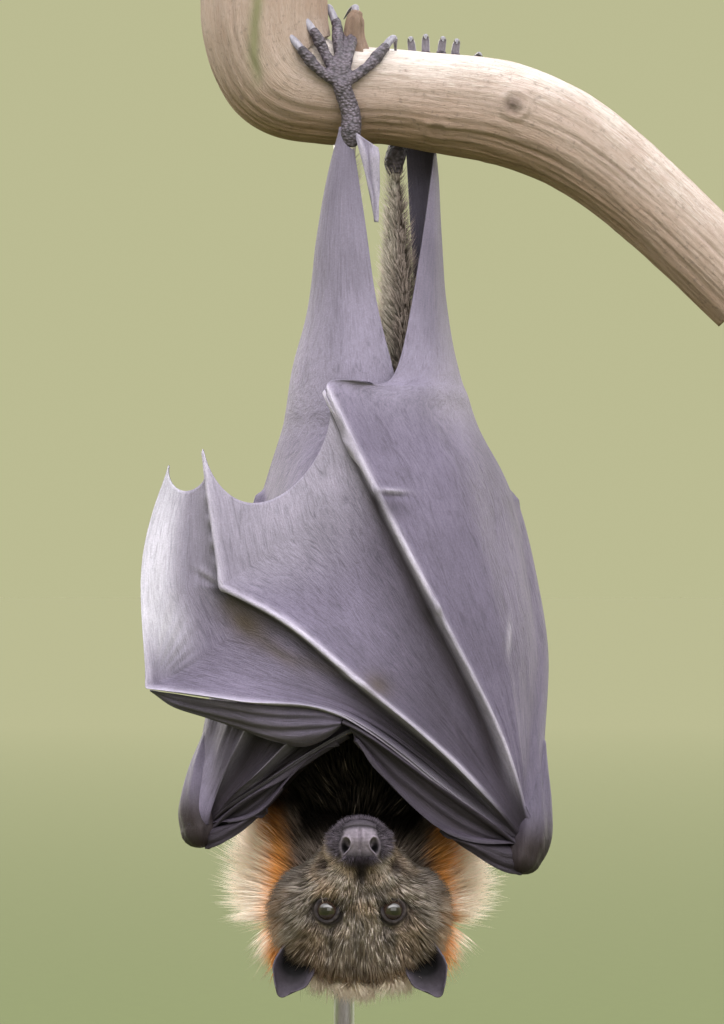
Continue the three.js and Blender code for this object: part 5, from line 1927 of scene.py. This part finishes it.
def make_coat(skin, material):
    """Tufts of solid hair over the skin, in pieces small enough to handle."""
    tree = BVHTree.FromObject(skin, bpy.context.evaluated_depsgraph_get())
    slots = {"head": "head_fur", "neck": "ruff_fur", "trunk": "body_fur", "legs": "body_fur"}
    for part, (count, reach, stations) in COATS.items():
        points, t, angle = part_roots(part, count)
        root, normal, good = skin_roots(tree, points, reach)
        good &= rng.random(count) < keep_share(part, root)
        root, normal, t, angle = root[good], normal[good], t[good], angle[good]
        chance = rng.random(len(root))
        clump = 0.5 + 0.5 * lattice_noise(root * 0.6, 71)
        chance = np.clip(0.72 * chance + 0.28 * clump, 0, 1)
        lie = lie_of(part, root, normal)
        length, width, rise, fall = shape_of(part, root, chance)
        rise = rise + (rng.random(len(root)) - 0.5) * 0.3
        uv = np.stack([0.01 + 0.98 * angle / (2 * np.pi), 0.01 + 0.98 * t], axis=1)
        per = 1 + 6 * (stations - 1) + 3
        batch = MOST_TRIANGLES // per
        order = np.argsort(t + 0.001 * angle)
        pieces = max(1, math.ceil(len(root) / batch))
        for piece in range(pieces):
            pick = order[piece * len(root) // pieces : (piece + 1) * len(root) // pieces]
            points, faces, tone, all_uv = tuft_mesh(
                root[pick], normal[pick], lie[pick], length[pick], width[pick], rise[pick], fall[pick],
                tuft_tint(part, root[pick], chance[pick]), uv[pick], stations,
            )
            obj = make_object("coat_" + part + "_" + str(piece + 1), points, faces)
            point_colour(obj, "tone", tone)
            point_uv(obj, "OFBake", all_uv)
            place(obj, material, slots[part])


def coat_material():
    nodes = Nodes("coat")
    tone = nodes.attribute("tone", "Color")
    return nodes.finish(Base_Color=tone, Roughness=0.7, Specular_IOR_Level=0.03)


def paint_skin(skin):
    """The skin carries the coat's own markings, darker, and its bare parts their own colours, with painted shade and
    highlights about the nose and lips.
    """
    points = coordinates(skin)
    p = to_head(points)
    chance = 0.5 + 0.5 * fractal(points * 0.8, 2, 81)
    parts = {"head": HEAD, "neck": NECK, "trunk": TRUNK}
    tone = coat_colours("trunk", points, chance)[1]
    neck = 1 - smooth(points[:, 2], 140, 160)
    tone = mixed(tone, coat_colours("neck", points, chance)[0], neck)
    legs = smooth(points[:, 2], 300, 325)
    tone = mixed(tone, coat_colours("legs", points, chance)[1], legs)
    on_head = np.abs(p[:, 0] / 40) ** 2 + (p[:, 1] / 46) ** 2 + (p[:, 2] / 32) ** 2 < 1
    tone = np.where(on_head[:, None], coat_colours("head", points, chance)[1] * 0.8, tone)
    marks = face_marks(p)
    folded = np.stack([np.abs(p[:, 0]), p[:, 1], p[:, 2]], axis=1)
    bare = marks["snout"] * on_head
    tone = mixed(tone, SNOUT * (0.7 - 0.25 * smooth(-p[:, 2], 3, 8)[:, None]), bare)
    pad = smooth(6.8 - folded[:, 0], -1.2, 1.2) * smooth(p[:, 1], 31, 34) * smooth(p[:, 2], -7, -4.5)
    pad = pad * (1 - smooth(p[:, 2], 0.2, 3.0))
    tone = mixed(tone, SNOUT * 1.7, 0.9 * pad * on_head)
    shade = smooth(p[:, 2], 1.2, 3.7) * (1 - smooth(folded[:, 0], 5.5, 8.5)) * smooth(p[:, 1], 24, 29)
    tone = mixed(tone, SNOUT * 0.22, 0.85 * shade * on_head)
    hole = nostril_gap(folded) + 9 * (1 - smooth(p[:, 1], 27, 30))
    # A painted highlight on the raised rim of each nostril, and painted shade, near black, inside it.
    tone = mixed(tone, SNOUT * 2.4, 0.7 * hump(hole, 2.4, 0.45) * smooth(8.6 - folded[:, 0], 0, 1.5) * on_head)
    tone = mixed(tone, [0.002, 0.0015, 0.002], np.exp(-((hole / 1.85) ** 8)) * on_head)
    # The line of the lips is painted dark, as shade in its groove.
    lips = hump(p[:, 2] + 7.2 + 0.010 * (38 - p[:, 1]).clip(0) ** 2, 0, 0.9) * smooth(p[:, 1], 12, 18)
    tone = mixed(tone, [0.02, 0.016, 0.02], 0.6 * lips * on_head)
    gap = np.linalg.norm(folded - EYE, axis=1)
    tone = mixed(tone, LID, np.exp(-((gap / 7.6) ** 8)) * on_head)
    tone = mixed(tone, SNOUT * 0.9, 0.5 * hump(gap, 5.9, 0.35) * smooth(-folded[:, 1], -6, -2) * on_head)
    point_colour(skin, "tone", tone)


# ---- Everything ----


def skin_material():
    nodes = Nodes("bat_skin")
    tone = nodes.attribute("tone", "Color")
    grain = nodes.noise(nodes.position(), 900.0, 4.0)
    colour = nodes.mix(1.0, tone, nodes.ramp(grain, [(0.3, 0.75), (0.7, 1.2)]), "MULTIPLY")
    return nodes.finish(Base_Color=colour, Roughness=0.55, Specular_IOR_Level=0.15, Normal=nodes.bump(grain, 0.0003, 0.6))


make_stand()
make_branch()
make_wings()
skin = make_skin()
paint_skin(skin)
place(skin, skin_material(), "body_fur", "trunk", "neck", "head", "leg_right", "leg_left")
make_eyes()
make_ears()
make_feet()
make_coat(skin, coat_material())
make_camera()
make_stage()
